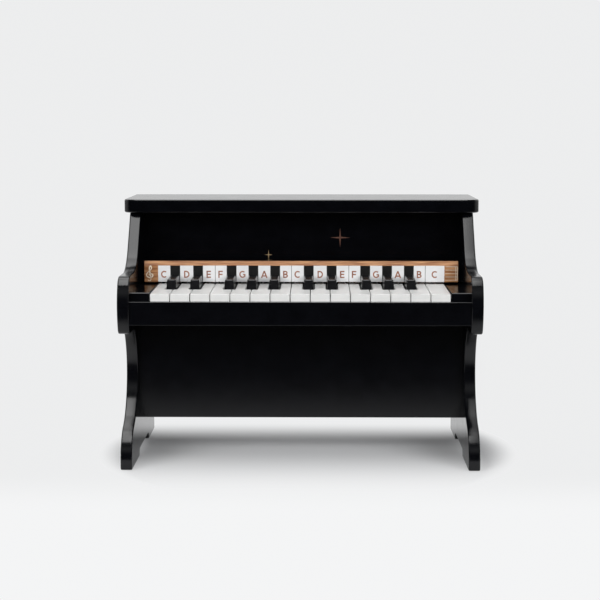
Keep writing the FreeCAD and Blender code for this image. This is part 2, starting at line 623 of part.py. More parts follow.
def key_guide(keys):
    """Moulded strip with an upright tongue inside every key: wide in the white heads' hollows."""
    front = WHITE_TONGUE_SETBACK - GUIDE_BASE_MARGIN
    rear = BLACK_TONGUE_SETBACK + GUIDE_BASE_MARGIN
    tongues = []
    for name, left, right, *_ in keys:
        if name.startswith("white"):
            y, tip = WHITE_TONGUE_SETBACK, WHITE_TONGUE_TOP
            half = (right - left) / 2 - KEY_WALL - TONGUE_FIT
        else:
            y, tip = BLACK_TONGUE_SETBACK, BLACK_TONGUE_TOP
            half = BLACK_TONGUE_WIDTH / 2
        x = (left + right) / 2
        y0 = y - TONGUE_LENGTH / 2
        tongues.append(box(x - half, x + half, y0, y0 + TONGUE_LENGTH, KEYBED_TOP, tip))
    base = box(ROW_LEFT, -ROW_LEFT, front, rear, KEYBED_TOP, KEYBED_TOP + GUIDE_BASE_HEIGHT)
    return base.fuse(tongues).removeSplitter()


def front_felts():
    """Felt strips that stop the pressed white and black keys."""
    white = box(ROW_LEFT, -ROW_LEFT, KEY_FRONT_SETBACK, KEY_FRONT_SETBACK + FELT_WIDTH,
                KEYBED_TOP, FRONT_FELT_TOP)
    black = box(ROW_LEFT, -ROW_LEFT, BLACK_FRONT_SETBACK - FELT_GAP,
                BLACK_FRONT_SETBACK + BLACK_FELT_WIDTH, KEYBED_TOP + GUIDE_BASE_HEIGHT, BLACK_FELT_TOP)
    return [white, black]


def back_rail():
    """Wood strip under the key tails."""
    y0 = PIVOT_SETBACK + BACK_RAIL_REACH
    return box(-KEY_BLOCK_INNER_X, KEY_BLOCK_INNER_X, y0, y0 + BACK_RAIL_WIDTH,
               KEYBED_TOP, BACK_FELT_TOP - BACK_FELT_THICKNESS)


def back_felt():
    """Felt on the back rail, where the tails rest."""
    y0 = PIVOT_SETBACK + BACK_RAIL_REACH
    return box(-KEY_BLOCK_INNER_X, KEY_BLOCK_INNER_X, y0, y0 + BACK_RAIL_WIDTH,
               BACK_FELT_TOP - BACK_FELT_THICKNESS, BACK_FELT_TOP)


def spring_comb(keys):
    """Sheet steel strip clamped over the name rail, with a leaf bent down onto every key tail."""
    top = SHELF_BOTTOM
    base = box(ROW_LEFT, -ROW_LEFT, STRIP_REAR, NAME_RAIL_REAR, top - SPRING_SHEET, top)
    touch_y = PIVOT_SETBACK + SPRING_REACH
    touch_z = key_point_height(SPRING_REACH, LEVER_HEIGHT / 2, KEY_REST_TILT) + SPRING_GAP
    lifted = touch_z + SPRING_TIP
    end_y = touch_y + SPRING_TIP
    profile = [(NAME_RAIL_REAR, top, 0), (NAME_RAIL_REAR, top - SPRING_SHEET, 0),
               (touch_y, touch_z, 0), (end_y, lifted, 0),
               (end_y, lifted + SPRING_SHEET, 0), (touch_y, touch_z + SPRING_SHEET, 0)]
    half = LEVER_WIDTH / 2 - SPRING_LEAF_INSET
    leaves = [x_prism(profile, key[-1] - half, key[-1] + half) for key in keys]
    return base.fuse(leaves).removeSplitter()


def bar_lengths(keys):
    """Length of each tone bar: halved over two octaves, by the same ratio from key to key."""
    return [LONGEST_BAR * 2 ** (-index / BAR_HALVING_COUNT) for index in range(len(keys))]


def rail_depth(keys, side, x):
    """Depth of a bar rail's middle line at x: straight through the outer bars' still points."""
    lengths = bar_lengths(keys)
    first_x = keys[0][-1]
    last_x = keys[-1][-1]
    along = (x - first_x) / (last_x - first_x)
    length = lengths[0] + along * (lengths[-1] - lengths[0])
    return BAR_MIDDLE + side * BAR_NODE_SHARE * length


def peg(x, y, size, z0, z1):
    """Square upright pin or hole."""
    return box(x - size / 2, x + size / 2, y - size / 2, y + size / 2, z0, z1)


def slanted_strip(keys, side, offset, width, z0, z1):
    """Strip along a bar rail, from side panel to side panel, set off from its middle line."""
    left = rail_depth(keys, side, -INNER_X) + offset
    right = rail_depth(keys, side, INNER_X) + offset
    plan = [(-INNER_X, left - width / 2, 0), (INNER_X, right - width / 2, 0),
            (INNER_X, right + width / 2, 0), (-INNER_X, left + width / 2, 0)]
    return z_prism(plan, z0, z1)


def bar_rail(keys, side):
    """Moulded rail under the tone bars: the rear one pegs each bar, the front one keeps them apart."""
    places = [key[-1] for key in keys]
    if side < 0:
        beside = (BAR_WIDTH + PEG_HOLE) / 2
        between = [(x0 + x1) / 2 for x0, x1 in zip(places, places[1:])]
        places = [places[0] - beside] + between + [places[-1] + beside]
    top = BAR_BOTTOM + BAR_THICKNESS + PEG_RISE
    rail = slanted_strip(keys, side, 0, BAR_RAIL_WIDTH, BAR_RAIL_BOTTOM, BAR_RAIL_TOP)
    pegs = [peg(x, rail_depth(keys, side, x), PEG_SIZE, BAR_RAIL_BOTTOM, top) for x in places]
    return rail.fuse(pegs).removeSplitter()


def bar_felts(keys):
    """Felt strips on the rails, before and behind the pegs."""
    width = (BAR_RAIL_WIDTH - PEG_SIZE) / 2 - PEG_FIT
    offset = (BAR_RAIL_WIDTH - width) / 2
    return [slanted_strip(keys, side, way * offset, width, BAR_RAIL_TOP, BAR_BOTTOM)
            for side in (-1, 1) for way in (-1, 1)]


def tone_bars(keys):
    """One flat steel bar above every hammer, each with a hole for its peg."""
    bars = []
    half = BAR_WIDTH / 2
    top = BAR_BOTTOM + BAR_THICKNESS
    for key, length in zip(keys, bar_lengths(keys)):
        x = key[-1]
        bar = box(x - half, x + half, BAR_MIDDLE - length / 2, BAR_MIDDLE + length / 2, BAR_BOTTOM, top)
        hole = peg(x, rail_depth(keys, 1, x), PEG_HOLE, BAR_BOTTOM - OVERRUN, top + OVERRUN)
        bars.append(bar.cut(hole))
    return bars


def bar_rail_cleats(keys):
    """Blocks on the side panels that carry the ends of the bar rails."""
    cleats = []
    for way in (-1, 1):
        x0, x1 = sorted((way * (INNER_X - BAR_CLEAT_WIDTH), way * INNER_X))
        reach = BAR_RAIL_WIDTH / 2 + BAR_CLEAT_MARGIN
        cleats.append(box(x0, x1, rail_depth(keys, -1, way * INNER_X) - reach,
                          rail_depth(keys, 1, way * INNER_X) + reach,
                          BAR_RAIL_BOTTOM - BAR_CLEAT_HEIGHT, BAR_RAIL_BOTTOM))
    return cleats


def build():
    """All nodes by name, each a solid or a list of separate solids."""
    keys = keyboard_layout()
    nodes = {
        "left_side_panel": side_panel(-1),
        "right_side_panel": side_panel(1),
        "lid": lid(),
        "lid_cleats": lid_cleats(),
        "upper_front_panel": upper_front_panel(),
        "lower_front_panel": lower_front_panel(),
        "key_slip": key_slip(),
        "keybed": keybed(),
        "left_key_block": key_block(-1),
        "right_key_block": key_block(1),
        "note_strip": note_strip(),
        "name_rail": name_rail(),
        "action_shelf": action_shelf(),
        "back_panel": back_panel(),
        "back_panel_screws": back_panel_screws(),
        "top_batten": top_batten(),
        "pivot_rod": pivot_rod(),
        "pivot_supports": pivot_supports(),
        "balance_rail": balance_rail(),
        "key_guide": key_guide(keys),
        "front_felts": front_felts(),
        "back_rail": back_rail(),
        "back_felt": back_felt(),
        "spring_comb": spring_comb(keys),
        "tone_bars": tone_bars(keys),
        "front_bar_rail": bar_rail(keys, -1),
        "rear_bar_rail": bar_rail(keys, 1),
        "bar_felts": bar_felts(keys),
        "bar_rail_cleats": bar_rail_cleats(keys),
    }
    for name, left, right, neck_left, neck_right, middle in keys:
        if name.startswith("white"):
            key = white_key(left - middle, right - middle, neck_left - middle, neck_right - middle)
        else:
            key = black_key()
        nodes[name] = finished_key(key, middle)
    return nodes


os.makedirs("parts", exist_ok=True)
for node, shape in build().items():
    if isinstance(shape, list):
        shape = Part.makeCompound(shape)
    shape.translate(V(0, -ORIGIN_DEPTH, 0))
    shape.exportStep("parts/%s.step" % node)
print("key travel %.3f degrees, pivot at depth %.2f, height %.2f" % (
    KEY_TRAVEL, PIVOT_SETBACK - ORIGIN_DEPTH, PIVOT_HEIGHT))
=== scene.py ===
# %% [markdown]
# # A toy upright piano
#
# This lesson dresses a piano that was built in a CAD program. The CAD pieces give
# the sizes and the joints, and here they get the shapes that a CAD board doesn't
# have: softened edges, moulded keys, the printed note strip and bent springs.
# Sizes are typed in millimetres, because that is how a maker thinks, and one
# function turns them into Blender's metres. Depth is counted from the front of the
# side panels, height from the floor, and x from the middle of the piano.

# %% Load the CAD pieces
import json
import math

import bmesh
import bpy
import numpy as np
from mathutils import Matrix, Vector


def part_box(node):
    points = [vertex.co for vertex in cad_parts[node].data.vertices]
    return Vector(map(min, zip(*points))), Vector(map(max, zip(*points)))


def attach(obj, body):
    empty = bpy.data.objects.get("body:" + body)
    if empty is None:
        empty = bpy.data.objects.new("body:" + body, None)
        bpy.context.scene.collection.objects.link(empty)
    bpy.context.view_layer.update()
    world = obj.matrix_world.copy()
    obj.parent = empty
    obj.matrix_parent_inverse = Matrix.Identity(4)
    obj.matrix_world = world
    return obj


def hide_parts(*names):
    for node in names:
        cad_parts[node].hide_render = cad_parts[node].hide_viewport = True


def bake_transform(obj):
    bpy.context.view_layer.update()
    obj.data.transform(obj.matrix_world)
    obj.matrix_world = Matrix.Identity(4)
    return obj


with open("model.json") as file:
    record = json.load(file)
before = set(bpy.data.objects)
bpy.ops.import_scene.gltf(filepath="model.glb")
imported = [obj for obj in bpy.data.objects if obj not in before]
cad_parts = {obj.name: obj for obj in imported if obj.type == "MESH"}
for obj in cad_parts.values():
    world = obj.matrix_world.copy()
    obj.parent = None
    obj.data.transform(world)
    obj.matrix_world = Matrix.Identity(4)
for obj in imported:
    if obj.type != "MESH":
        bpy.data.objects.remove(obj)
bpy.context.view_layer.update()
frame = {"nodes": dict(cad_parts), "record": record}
MM = 0.001
FRONT_TO_MIDDLE = 131.0          # depth of the frame's origin behind the front

# %% [markdown]
# ## Materials first
#
# Each finish is a small node tree. A single flat colour looks like a computer
# picture, so a noise texture varies the colour and the roughness, and a finer one
# drives a bump for the grain of the surface. The noise reads Object coordinates,
# which are metres here, so a scale of 400 gives marks about 2.5 mm across. Wood is
# the same idea with the noise stretched along the board.


# %% A function that makes a finish
def make_finish(name, dark, light, roughness, scale, stretch=(1, 1, 1), bump=0.0,
                bump_scale=900.0, metallic=0.0, specular=0.5, spread=0.06,
                coat=0.0, coat_roughness=0.1, sheen=0.0):
    """Principled shader: noise mixes two colours, shifts the roughness, drives a bump."""
    material = bpy.data.materials.new(name)
    material.use_nodes = True
    nodes, links = material.node_tree.nodes, material.node_tree.links
    shader = nodes["Principled BSDF"]
    place = nodes.new("ShaderNodeTexCoord")
    mapping = nodes.new("ShaderNodeMapping")
    mapping.inputs["Scale"].default_value = stretch
    links.new(place.outputs["Object"], mapping.inputs["Vector"])
    noise = nodes.new("ShaderNodeTexNoise")
    noise.inputs["Scale"].default_value = scale
    noise.inputs["Detail"].default_value = 5.0
    links.new(mapping.outputs["Vector"], noise.inputs["Vector"])
    ramp = nodes.new("ShaderNodeValToRGB")
    for stop, position, colour in zip(ramp.color_ramp.elements, (0.32, 0.68), (dark, light)):
        stop.position = position
        stop.color = (*colour, 1)
    links.new(noise.outputs["Fac"], ramp.inputs["Fac"])
    links.new(ramp.outputs["Color"], shader.inputs["Base Color"])
    rough = nodes.new("ShaderNodeMapRange")
    rough.inputs["To Min"].default_value = roughness - spread
    rough.inputs["To Max"].default_value = roughness + spread
    links.new(noise.outputs["Fac"], rough.inputs["Value"])
    links.new(rough.outputs["Result"], shader.inputs["Roughness"])
    if bump:
        grain = nodes.new("ShaderNodeTexNoise")
        grain.inputs["Scale"].default_value = bump_scale
        grain.inputs["Detail"].default_value = 3.0
        links.new(mapping.outputs["Vector"], grain.inputs["Vector"])
        relief = nodes.new("ShaderNodeBump")
        relief.inputs["Strength"].default_value = 1.0
        relief.inputs["Distance"].default_value = bump
        links.new(grain.outputs["Fac"], relief.inputs["Height"])
        links.new(relief.outputs["Normal"], shader.inputs["Normal"])
    shader.inputs["Metallic"].default_value = metallic
    shader.inputs["Specular IOR Level"].default_value = specular
    shader.inputs["Coat Weight"].default_value = coat
    shader.inputs["Coat Roughness"].default_value = coat_roughness
    shader.inputs["Sheen Weight"].default_value = sheen
    return material


# %% The finishes of the piano
finish = {
    "black_lacquer": make_finish("satin_black_lacquer", (0.0010, 0.0011, 0.0018),
                                 (0.0018, 0.0020, 0.0030), 0.17, 60, bump=2e-6,
                                 bump_scale=420, spread=0.03),
    "black_hardboard": make_finish("black_hardboard", (0.011, 0.010, 0.009),
                                   (0.024, 0.022, 0.020), 0.62, 700, bump=4e-5,
                                   bump_scale=1500, specular=0.35),
    "printed_wood": make_finish("varnished_strip_wood", (0.20, 0.070, 0.026),
                                (0.52, 0.270, 0.125), 0.36, 60, (0.6, 9, 9), bump=6e-6,
                                bump_scale=420, coat=0.25, coat_roughness=0.25),
    "bare_wood": make_finish("bare_pine", (0.47, 0.31, 0.17), (0.66, 0.49, 0.31), 0.66,
                             55, (1, 10, 10), bump=3e-5, bump_scale=500, specular=0.3),
    "steel": make_finish("drawn_steel", (0.42, 0.43, 0.44), (0.60, 0.61, 0.62), 0.3, 260,
                         (1, 6, 1), bump=2e-6, bump_scale=1600, metallic=1.0),
    "spring_steel": make_finish("blued_spring_steel", (0.30, 0.31, 0.34),
                                (0.46, 0.47, 0.50), 0.34, 300, (6, 1, 1), bump=2e-6,
                                bump_scale=1800, metallic=1.0),
    "grey_plastic": make_finish("grey_moulding", (0.24, 0.245, 0.25), (0.31, 0.315, 0.32),
                                0.48, 300, bump=6e-6, bump_scale=1500),
    "red_felt": make_finish("red_felt", (0.16, 0.012, 0.014), (0.34, 0.03, 0.03), 0.95,
                            900, bump=1.6e-4, bump_scale=2200, specular=0.1, sheen=0.4,
                            spread=0.03),
    "white_plastic": make_finish("ivory_white_plastic", (0.76, 0.765, 0.755),
                                 (0.81, 0.81, 0.80), 0.34, 90, bump=2e-6, bump_scale=600,
                                 spread=0.05),
    "black_plastic": make_finish("polished_black_plastic", (0.0045, 0.0045, 0.0052),
                                 (0.0075, 0.0075, 0.0085), 0.24, 160, bump=2e-6,
                                 bump_scale=900, spread=0.04),
}
print("finishes:", ", ".join(sorted(finish)))

# %% [markdown]
# The inks of the note strip are finishes too. Printing ink lies a little unevenly,
# so each has the same slow noise in its colour.

# %% The inks
ink = {
    "white": make_finish("label_white", (0.75, 0.755, 0.765), (0.80, 0.805, 0.81), 0.42, 120),
    "black": make_finish("label_black", (0.006, 0.006, 0.006), (0.011, 0.011, 0.011), 0.4, 150),
    "grey": make_finish("label_grey", (0.17, 0.165, 0.16), (0.24, 0.235, 0.23), 0.45, 200),
    "copper": make_finish("letter_copper", (0.27, 0.105, 0.057), (0.37, 0.155, 0.090), 0.42,
                          300),
    "cream": make_finish("music_cream", (0.76, 0.65, 0.50), (0.88, 0.79, 0.66), 0.42, 300),
    "gold": make_finish("star_gold", (0.27, 0.185, 0.095), (0.40, 0.29, 0.165), 0.4, 500),
    "rose": make_finish("star_rose", (0.080, 0.040, 0.030), (0.13, 0.062, 0.045), 0.4, 420),
}
print("inks:", ", ".join(ink))

# %% Put the finishes on the CAD pieces
for part in frame["record"]["subparts"]:
    mesh = frame["nodes"][part["node"]].data
    mesh.materials.clear()
    mesh.materials.append(finish[part["material_slot"]])

# %% [markdown]
# ## Small tools for shapes
#
# Nearly everything here is a **loft**: one closed outline repeated in rows, each row
# a little moved or shrunk, with a skin between the rows and a cap at both ends. With
# numpy a row is one array, so a rounded board is written as a formula and not as a
# list of points. `rounded` softens the corners of an outline, `inset` shrinks it
# evenly, and `rim` says how much to shrink at which height for a quarter-round edge.


# %% Outline tools
def rectangle(left, low, right, high):
    """Four corners, counter-clockwise from the lower left."""
    return [(left, low), (right, low), (right, high), (left, high)]


def arc_points(centre, radius, start, end, step=4):
    """Centre + radius (cos t, sin t), with points about step degrees apart."""
    count = max(4, int(abs(end - start) / step) + 1)
    t = np.radians(np.linspace(start, end, count))
    return np.stack([centre[0] + radius * np.cos(t), centre[1] + radius * np.sin(t)], -1)


def rounded(corners, radius, steps=4):
    """Each corner becomes a quadratic curve from radius before it to radius after it."""
    corners = np.asarray(corners, float)
    before = np.roll(corners, 1, 0) - corners
    after = np.roll(corners, -1, 0) - corners
    start = corners + before * radius / np.linalg.norm(before, axis=1, keepdims=True)
    end = corners + after * radius / np.linalg.norm(after, axis=1, keepdims=True)
    s = np.linspace(0, 1, steps + 1)[None, :, None]
    curve = ((1 - s) ** 2 * start[:, None] + 2 * s * (1 - s) * corners[:, None]
             + s ** 2 * end[:, None])
    return curve.reshape(-1, 2)


def inset(outline, distance):
    """Every corner of a counter-clockwise outline moves inwards along its mitre."""
    along = np.roll(outline, -1, 0) - outline
    normal = np.stack([along[:, 1], -along[:, 0]], -1)
    normal /= np.linalg.norm(normal, axis=1, keepdims=True)
    before = np.roll(normal, 1, 0)
    mitre = (normal + before) / (1 + (normal * before).sum(1, keepdims=True))
    return outline - distance * mitre


print("a rounded square has", len(rounded(rectangle(0, 0, 10, 10), 1)), "points")


# %% Rounded edges
def rim(radius, steps=5):
    """Pairs (inset, fall from the face) of a quarter round: r(1 - sin t), r(1 - cos t)."""
    t = np.linspace(0, np.pi / 2, steps + 1)
    return np.stack([radius * (1 - np.sin(t)), radius * (1 - np.cos(t))], -1)


def rim_both(radius, thickness):
    """A quarter round on both faces of a board: rows from the first face to the second."""
    near = rim(radius)
    far = near[::-1].copy()
    far[:, 1] = thickness - far[:, 1]
    return np.concatenate([near, far])


print("a quarter round of 1 mm has", len(rim(1.0)), "rows")


# %% Surface tools
def point(x, depth, height):
    """Millimetres from the front, the middle and the floor, as an array of points."""
    return np.stack(np.broadcast_arrays(x, np.asarray(depth) - FRONT_TO_MIDDLE, height), -1)


def box_of(node):
    """Low and high corner (x, depth, height) of a CAD node, in millimetres."""
    return np.array(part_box(node)) / MM + (0, FRONT_TO_MIDDLE, 0)


def loft(rings, closed=False):
    """Quads join row i to row i + 1 around the outline; end caps, or a closed loop of rows."""
    rings = np.asarray(rings, float)
    rows, count = rings.shape[:2]
    index = np.arange(rows * count).reshape(rows, count)
    if closed:
        index = np.concatenate([index, index[:1]])
    ahead = np.roll(index, -1, axis=1)
    quads = np.stack([index[:-1], ahead[:-1], ahead[1:], index[1:]], -1).reshape(-1, 4)
    faces = quads.tolist()
    if not closed:
        faces += [index[0][::-1].tolist(), index[-1].tolist()]
    return rings.reshape(-1, 3), faces


def join(*shells):
    """Puts several (points, faces) shells into one, counting the later points on."""
    starts = np.cumsum([0] + [len(points) for points, _ in shells])
    faces = [[corner + int(start) for corner in face]
             for start, (_, part) in zip(starts, shells) for face in part]
    return np.concatenate([points for points, _ in shells]), faces


# %% [markdown]
# A mesh becomes a piece of the piano when it rides on a body, so that a pressed key
# takes its dress along. Faces that lie at more than 38 degrees to each other keep a
# sharp edge, and the weighted normals keep flat faces flat beside their round edges.

# %% Make a piece
SHARP_ANGLE = math.radians(38)


def make_piece(name, shell, body, slot, material=None, turn_out=True, ride=True):
    """Makes a mesh of the shell in metres, points its faces outwards and rides it on a body."""
    points, faces = shell
    mesh = bpy.data.meshes.new(name)
    mesh.from_pydata(np.asarray(points, float) * MM, [], faces)
    if turn_out:
        shape = bmesh.new()
        shape.from_mesh(mesh)
        bmesh.ops.recalc_face_normals(shape, faces=shape.faces)
        shape.to_mesh(mesh)
        shape.free()
    mesh.shade_smooth()
    mesh.set_sharp_from_angle(angle=SHARP_ANGLE)
    mesh.materials.append(material or finish[slot])
    obj = bpy.data.objects.new(name, mesh)
    bpy.context.scene.collection.objects.link(obj)
    weigh = obj.modifiers.new("weighted_normals", "WEIGHTED_NORMAL")
    weigh.keep_sharp = True
    if ride:
        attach(obj, body)
    return obj


print("shape tools are ready")

# %% [markdown]
# ## The two side panels
#
# A side is sawn from one board: it runs down the back, over the arch between the
# feet, round the toe, in at the waist, out to the arm in front of the keys and up a
# cove to the lid. Every curve is an arc that meets the next without a kink. That
# holds when both centres and the meeting point lie on one line, so the centres are
# the sum of the radii apart where the curve swings over, and the difference apart
# where it goes on turning the same way. One right triangle then places each arc,
# and the straight runs fall in between. The board is a loft through its thickness
# with a small quarter round on both faces, which is what catches the light.

# %% Sizes of a side panel
(SIDE_IN, _, _), (SIDE_OUT, SIDE_BACK, SIDE_TOP) = box_of("right_side_panel")
SIDE_EDGE = 1.5
FOOT_FRONT, FOOT_BACK, REAR_FOOT_FRONT = 13.0, 90.0, 188.0
SOLE_RADIUS, ARCH_RADIUS, TOE_RADIUS = 3.0, 5.5, 42.0
WAIST_DEPTH, WAIST_HEIGHT = 82.0, 110.0          # the waist's deepest point
WAIST_RADIUS, UPPER_WAIST_RADIUS, KNEE_RADIUS = 67.0, 60.0, 12.0
ARM_UNDER, ARM_TOP, NOSE_HEIGHT = 160.0, 226.0, 190.0
CHIN_RADIUS, NOSE_RADIUS, BROW_RADIUS = 9.0, 60.0, 18.0
COVE_DEPTH, COVE_RADIUS, COVE_SLOPE = 55.3, 60.0, 36.3
print("side panel:", round(SIDE_OUT - SIDE_IN, 2), "mm thick,", round(SIDE_TOP, 2), "mm high")


# %% Centres of its arcs
def third_side(longest, other):
    """The third side of a right triangle, by Pythagoras."""
    return math.sqrt(longest ** 2 - other ** 2)


def direction(here, there):
    """Angle in degrees, 0 to 360, of the line from one centre to another."""
    return math.degrees(math.atan2(there[1] - here[1], there[0] - here[0])) % 360


waist = (WAIST_DEPTH - WAIST_RADIUS, WAIST_HEIGHT)
upper_waist = (WAIST_DEPTH - UPPER_WAIST_RADIUS, WAIST_HEIGHT)
toe_depth = FOOT_FRONT + TOE_RADIUS
toe = (toe_depth, WAIST_HEIGHT - third_side(WAIST_RADIUS + TOE_RADIUS, toe_depth - waist[0]))
knee_rise = ARM_UNDER - KNEE_RADIUS - WAIST_HEIGHT
knee = (upper_waist[0] + third_side(UPPER_WAIST_RADIUS - KNEE_RADIUS, knee_rise),
        WAIST_HEIGHT + knee_rise)
nose = (NOSE_RADIUS, NOSE_HEIGHT)
chin_height, brow_height = ARM_UNDER + CHIN_RADIUS, ARM_TOP - BROW_RADIUS
chin = (NOSE_RADIUS - third_side(NOSE_RADIUS - CHIN_RADIUS, NOSE_HEIGHT - chin_height),
        chin_height)
brow = (NOSE_RADIUS - third_side(NOSE_RADIUS - BROW_RADIUS, brow_height - NOSE_HEIGHT),
        brow_height)
cove = (COVE_DEPTH, ARM_TOP + COVE_RADIUS)
print("toe centre", np.round(toe, 2), "knee centre", np.round(knee, 2))

# %% Side panels
toe_end, knee_start = direction(toe, waist), direction(upper_waist, knee)
chin_end, brow_start = direction(nose, chin), direction(nose, brow)
side_arcs = [
    ((SIDE_BACK - SOLE_RADIUS, SOLE_RADIUS), SOLE_RADIUS, 0, -90),
    ((REAR_FOOT_FRONT + SOLE_RADIUS, SOLE_RADIUS), SOLE_RADIUS, -90, -180),
    ((REAR_FOOT_FRONT - ARCH_RADIUS, SOLE_RADIUS), ARCH_RADIUS, 0, 90),
    ((FOOT_BACK + ARCH_RADIUS, SOLE_RADIUS), ARCH_RADIUS, 90, 180),
    ((FOOT_BACK - SOLE_RADIUS, SOLE_RADIUS), SOLE_RADIUS, 0, -90),
    ((FOOT_FRONT + SOLE_RADIUS, SOLE_RADIUS), SOLE_RADIUS, -90, -180),
    (toe, TOE_RADIUS, 180, toe_end),
    (waist, WAIST_RADIUS, toe_end - 180, 0),
    (upper_waist, UPPER_WAIST_RADIUS, 0, knee_start),
    (knee, KNEE_RADIUS, knee_start, 90),
    (chin, CHIN_RADIUS, 270, chin_end),
    (nose, NOSE_RADIUS, chin_end, brow_start),
    (brow, BROW_RADIUS, brow_start, 90),
    (cove, COVE_RADIUS, -90, -COVE_SLOPE),
]
curves = np.concatenate([arc_points(*arc) for arc in side_arcs])
cove_depth, cove_height = curves[-1]
top_front = cove_depth + (SIDE_TOP - cove_height) * math.tan(math.radians(COVE_SLOPE))
outline = np.concatenate([[(SIDE_BACK, SIDE_TOP)], curves, [(top_front, SIDE_TOP)]])
repeated = np.linalg.norm(outline - np.roll(outline, 1, 0), axis=1) < 1e-3
outline = outline[~repeated][::-1]               # counter-clockwise, as inset wants it
for side, sign in (("left", -1), ("right", 1)):
    rings = [point(sign * (SIDE_OUT - fall), *inset(outline, shrink).T)
             for shrink, fall in rim_both(SIDE_EDGE, SIDE_OUT - SIDE_IN)]
    panel = make_piece(f"{side}_side_board", loft(rings), "case", "black_lacquer")
    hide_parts(f"{side}_side_panel")
print("side outline:", len(outline), "points")

# %% [markdown]
# ## The lid
#
# The lid is a thick board that overhangs the sides, with round front corners. It is
# the same loft laid flat: the outline is seen from above and the rows go upwards.

# %% Lid
(LID_LEFT, LID_FRONT, LID_UNDER), (LID_RIGHT, LID_BACK, LID_TOP) = box_of("lid")
LID_FRONT_RADIUS, LID_BACK_RADIUS, LID_EDGE, LID_STEP = 16.0, 4.0, 1.6, 11.25
near, far = LID_FRONT + LID_FRONT_RADIUS, LID_BACK - LID_BACK_RADIUS
lid_arcs = [
    ((LID_RIGHT - LID_BACK_RADIUS, far), LID_BACK_RADIUS, 0, 90),
    ((LID_LEFT + LID_BACK_RADIUS, far), LID_BACK_RADIUS, 90, 180),
    ((LID_LEFT + LID_FRONT_RADIUS, near), LID_FRONT_RADIUS, 180, 270),
    ((LID_RIGHT - LID_FRONT_RADIUS, near), LID_FRONT_RADIUS, 270, 360),
]
lid_plan = np.concatenate([arc_points(*arc, step=LID_STEP) for arc in lid_arcs])
rings = [point(*inset(lid_plan, shrink).T, LID_UNDER + rise)
         for shrink, rise in rim_both(LID_EDGE, LID_TOP - LID_UNDER)]
lid = make_piece("lid_board", loft(rings), "case", "black_lacquer")
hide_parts("lid")
print("lid plan:", len(lid_plan), "points")

# %% [markdown]
# ## The plain boards
#
# The knee panel, the panel above the keys and the slip in front of them are plain
# boards. What gives a painted board away is the soft line of light along its edges,
# so each is a section with rounded corners, carried along the piano's width. The
# sizes are read from the CAD pieces, so that a board stays where it was built.

# %% Plain boards
PLAIN_BOARDS = (("slip_board", "key_slip", 0.8), ("knee_board", "lower_front_panel", 1.0),
                ("upper_board", "upper_front_panel", 1.0))


def long_board(node, edge):
    """The node's box as a section (depth, height) with rounded corners, carried along x."""
    (left, front, under), (right, back, top) = box_of(node)
    section = rounded(rectangle(front, under, back, top), edge)
    return loft([point(x, *section.T) for x in (left, right)])


for name, node, edge in PLAIN_BOARDS:
    plain = make_piece(name, long_board(node, edge), "case", "black_lacquer")
    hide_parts(node)
print("plain boards:", len(PLAIN_BOARDS))

# %% [markdown]
# ## The keys
#
# A row of piano keys is a small puzzle. Each group, C to E or F to B, has n white
# keys and n - 1 black ones, and behind the keys their levers share the width of the
# group evenly: 2n - 1 equal slots, odd ones for the black keys. A white key is as
# wide as its pitch at the head, and its neck is whatever the black keys leave.

# %% Layout of the row
PITCH, KEY_GAP, BLACK_CUT = 23.0, 0.45, 7.2      # BLACK_CUT: half of a gap between necks
GROUPS = ("CDE", "FGAB", "CDE", "FGAB", "C")
ROW_HALF = PITCH * len("".join(GROUPS)) / 2
white_keys, black_keys = [], []
group_left = -ROW_HALF
for number, letters in enumerate(GROUPS):
    slots = 2 * len(letters) - 1
    width = len(letters) * PITCH / slots
    for slot in range(slots):
        middle = group_left + (slot + 0.5) * width
        letter = letters[slot // 2]
        octave = number // 2 + 1
        if slot % 2:
            black_keys.append((f"{letter.lower()}s{octave}", middle))
            continue
        left = -ROW_HALF + len(white_keys) * PITCH + KEY_GAP
        right = left + PITCH - 2 * KEY_GAP
        neck_left = left if slot == 0 else middle - (width - BLACK_CUT)
        neck_right = right if slot == slots - 1 else middle + (width - BLACK_CUT)
        white_keys.append((f"{letter.lower()}{octave}", letter, middle, left, right, neck_left,
                           neck_right))
    group_left += len(letters) * PITCH
print(len(white_keys), "white and", len(black_keys), "black keys")

# %% [markdown]
# Every key sits on a lever that rides on one rod, and the lever ends in a small
# hammer. Its side view is an outline with a round notch for the rod, carried along
# x. Keys are drawn level and then tilted, because at rest they fall a little towards
# the player, with their tails on a felt.

# %% Levers
PIVOT_DEPTH, PIVOT_HEIGHT, REST_TILT = 128.0, 197.0, math.radians(0.8)
LEVER_UNDER, LEVER_TOP, LEVER_HALF, TAIL = 192.0, 202.0, 4.52, 200.85
NOTCH_RADIUS, MOUTH_HALF = 1.55, 3.8
# distance before the tail and height above the lever
HAMMER = np.array([(0, 0), (1, 0.6), (1, 6), (3.5, 8), (6.5, 8), (9, 6), (9, 1), (10, 0)])


def at_rest(points):
    """Turns a level key about the pivot rod by the small tilt it has at rest."""
    pivot = point(0, PIVOT_DEPTH, PIVOT_HEIGHT)
    c, s = math.cos(REST_TILT), math.sin(REST_TILT)
    turn = np.array([[1, 0, 0], [0, c, -s], [0, s, c]])
    return (points - pivot) @ turn.T + pivot


def lever(middle, front):
    """The lever's side view, with a notch for the pivot rod and a hammer, carried along x."""
    under = [(front, LEVER_UNDER), (PIVOT_DEPTH - MOUTH_HALF, LEVER_UNDER)]
    notch = arc_points((PIVOT_DEPTH, PIVOT_HEIGHT), NOTCH_RADIUS, 240, -60, step=25)
    rear = [(PIVOT_DEPTH + MOUTH_HALF, LEVER_UNDER), (TAIL, LEVER_UNDER)]
    hammer = (TAIL, LEVER_TOP) + HAMMER * (-1, 1)
    side = np.concatenate([under, notch, rear, hammer, [(front, LEVER_TOP)]])
    return loft([point(middle + x, *side.T) for x in (-LEVER_HALF, LEVER_HALF)])


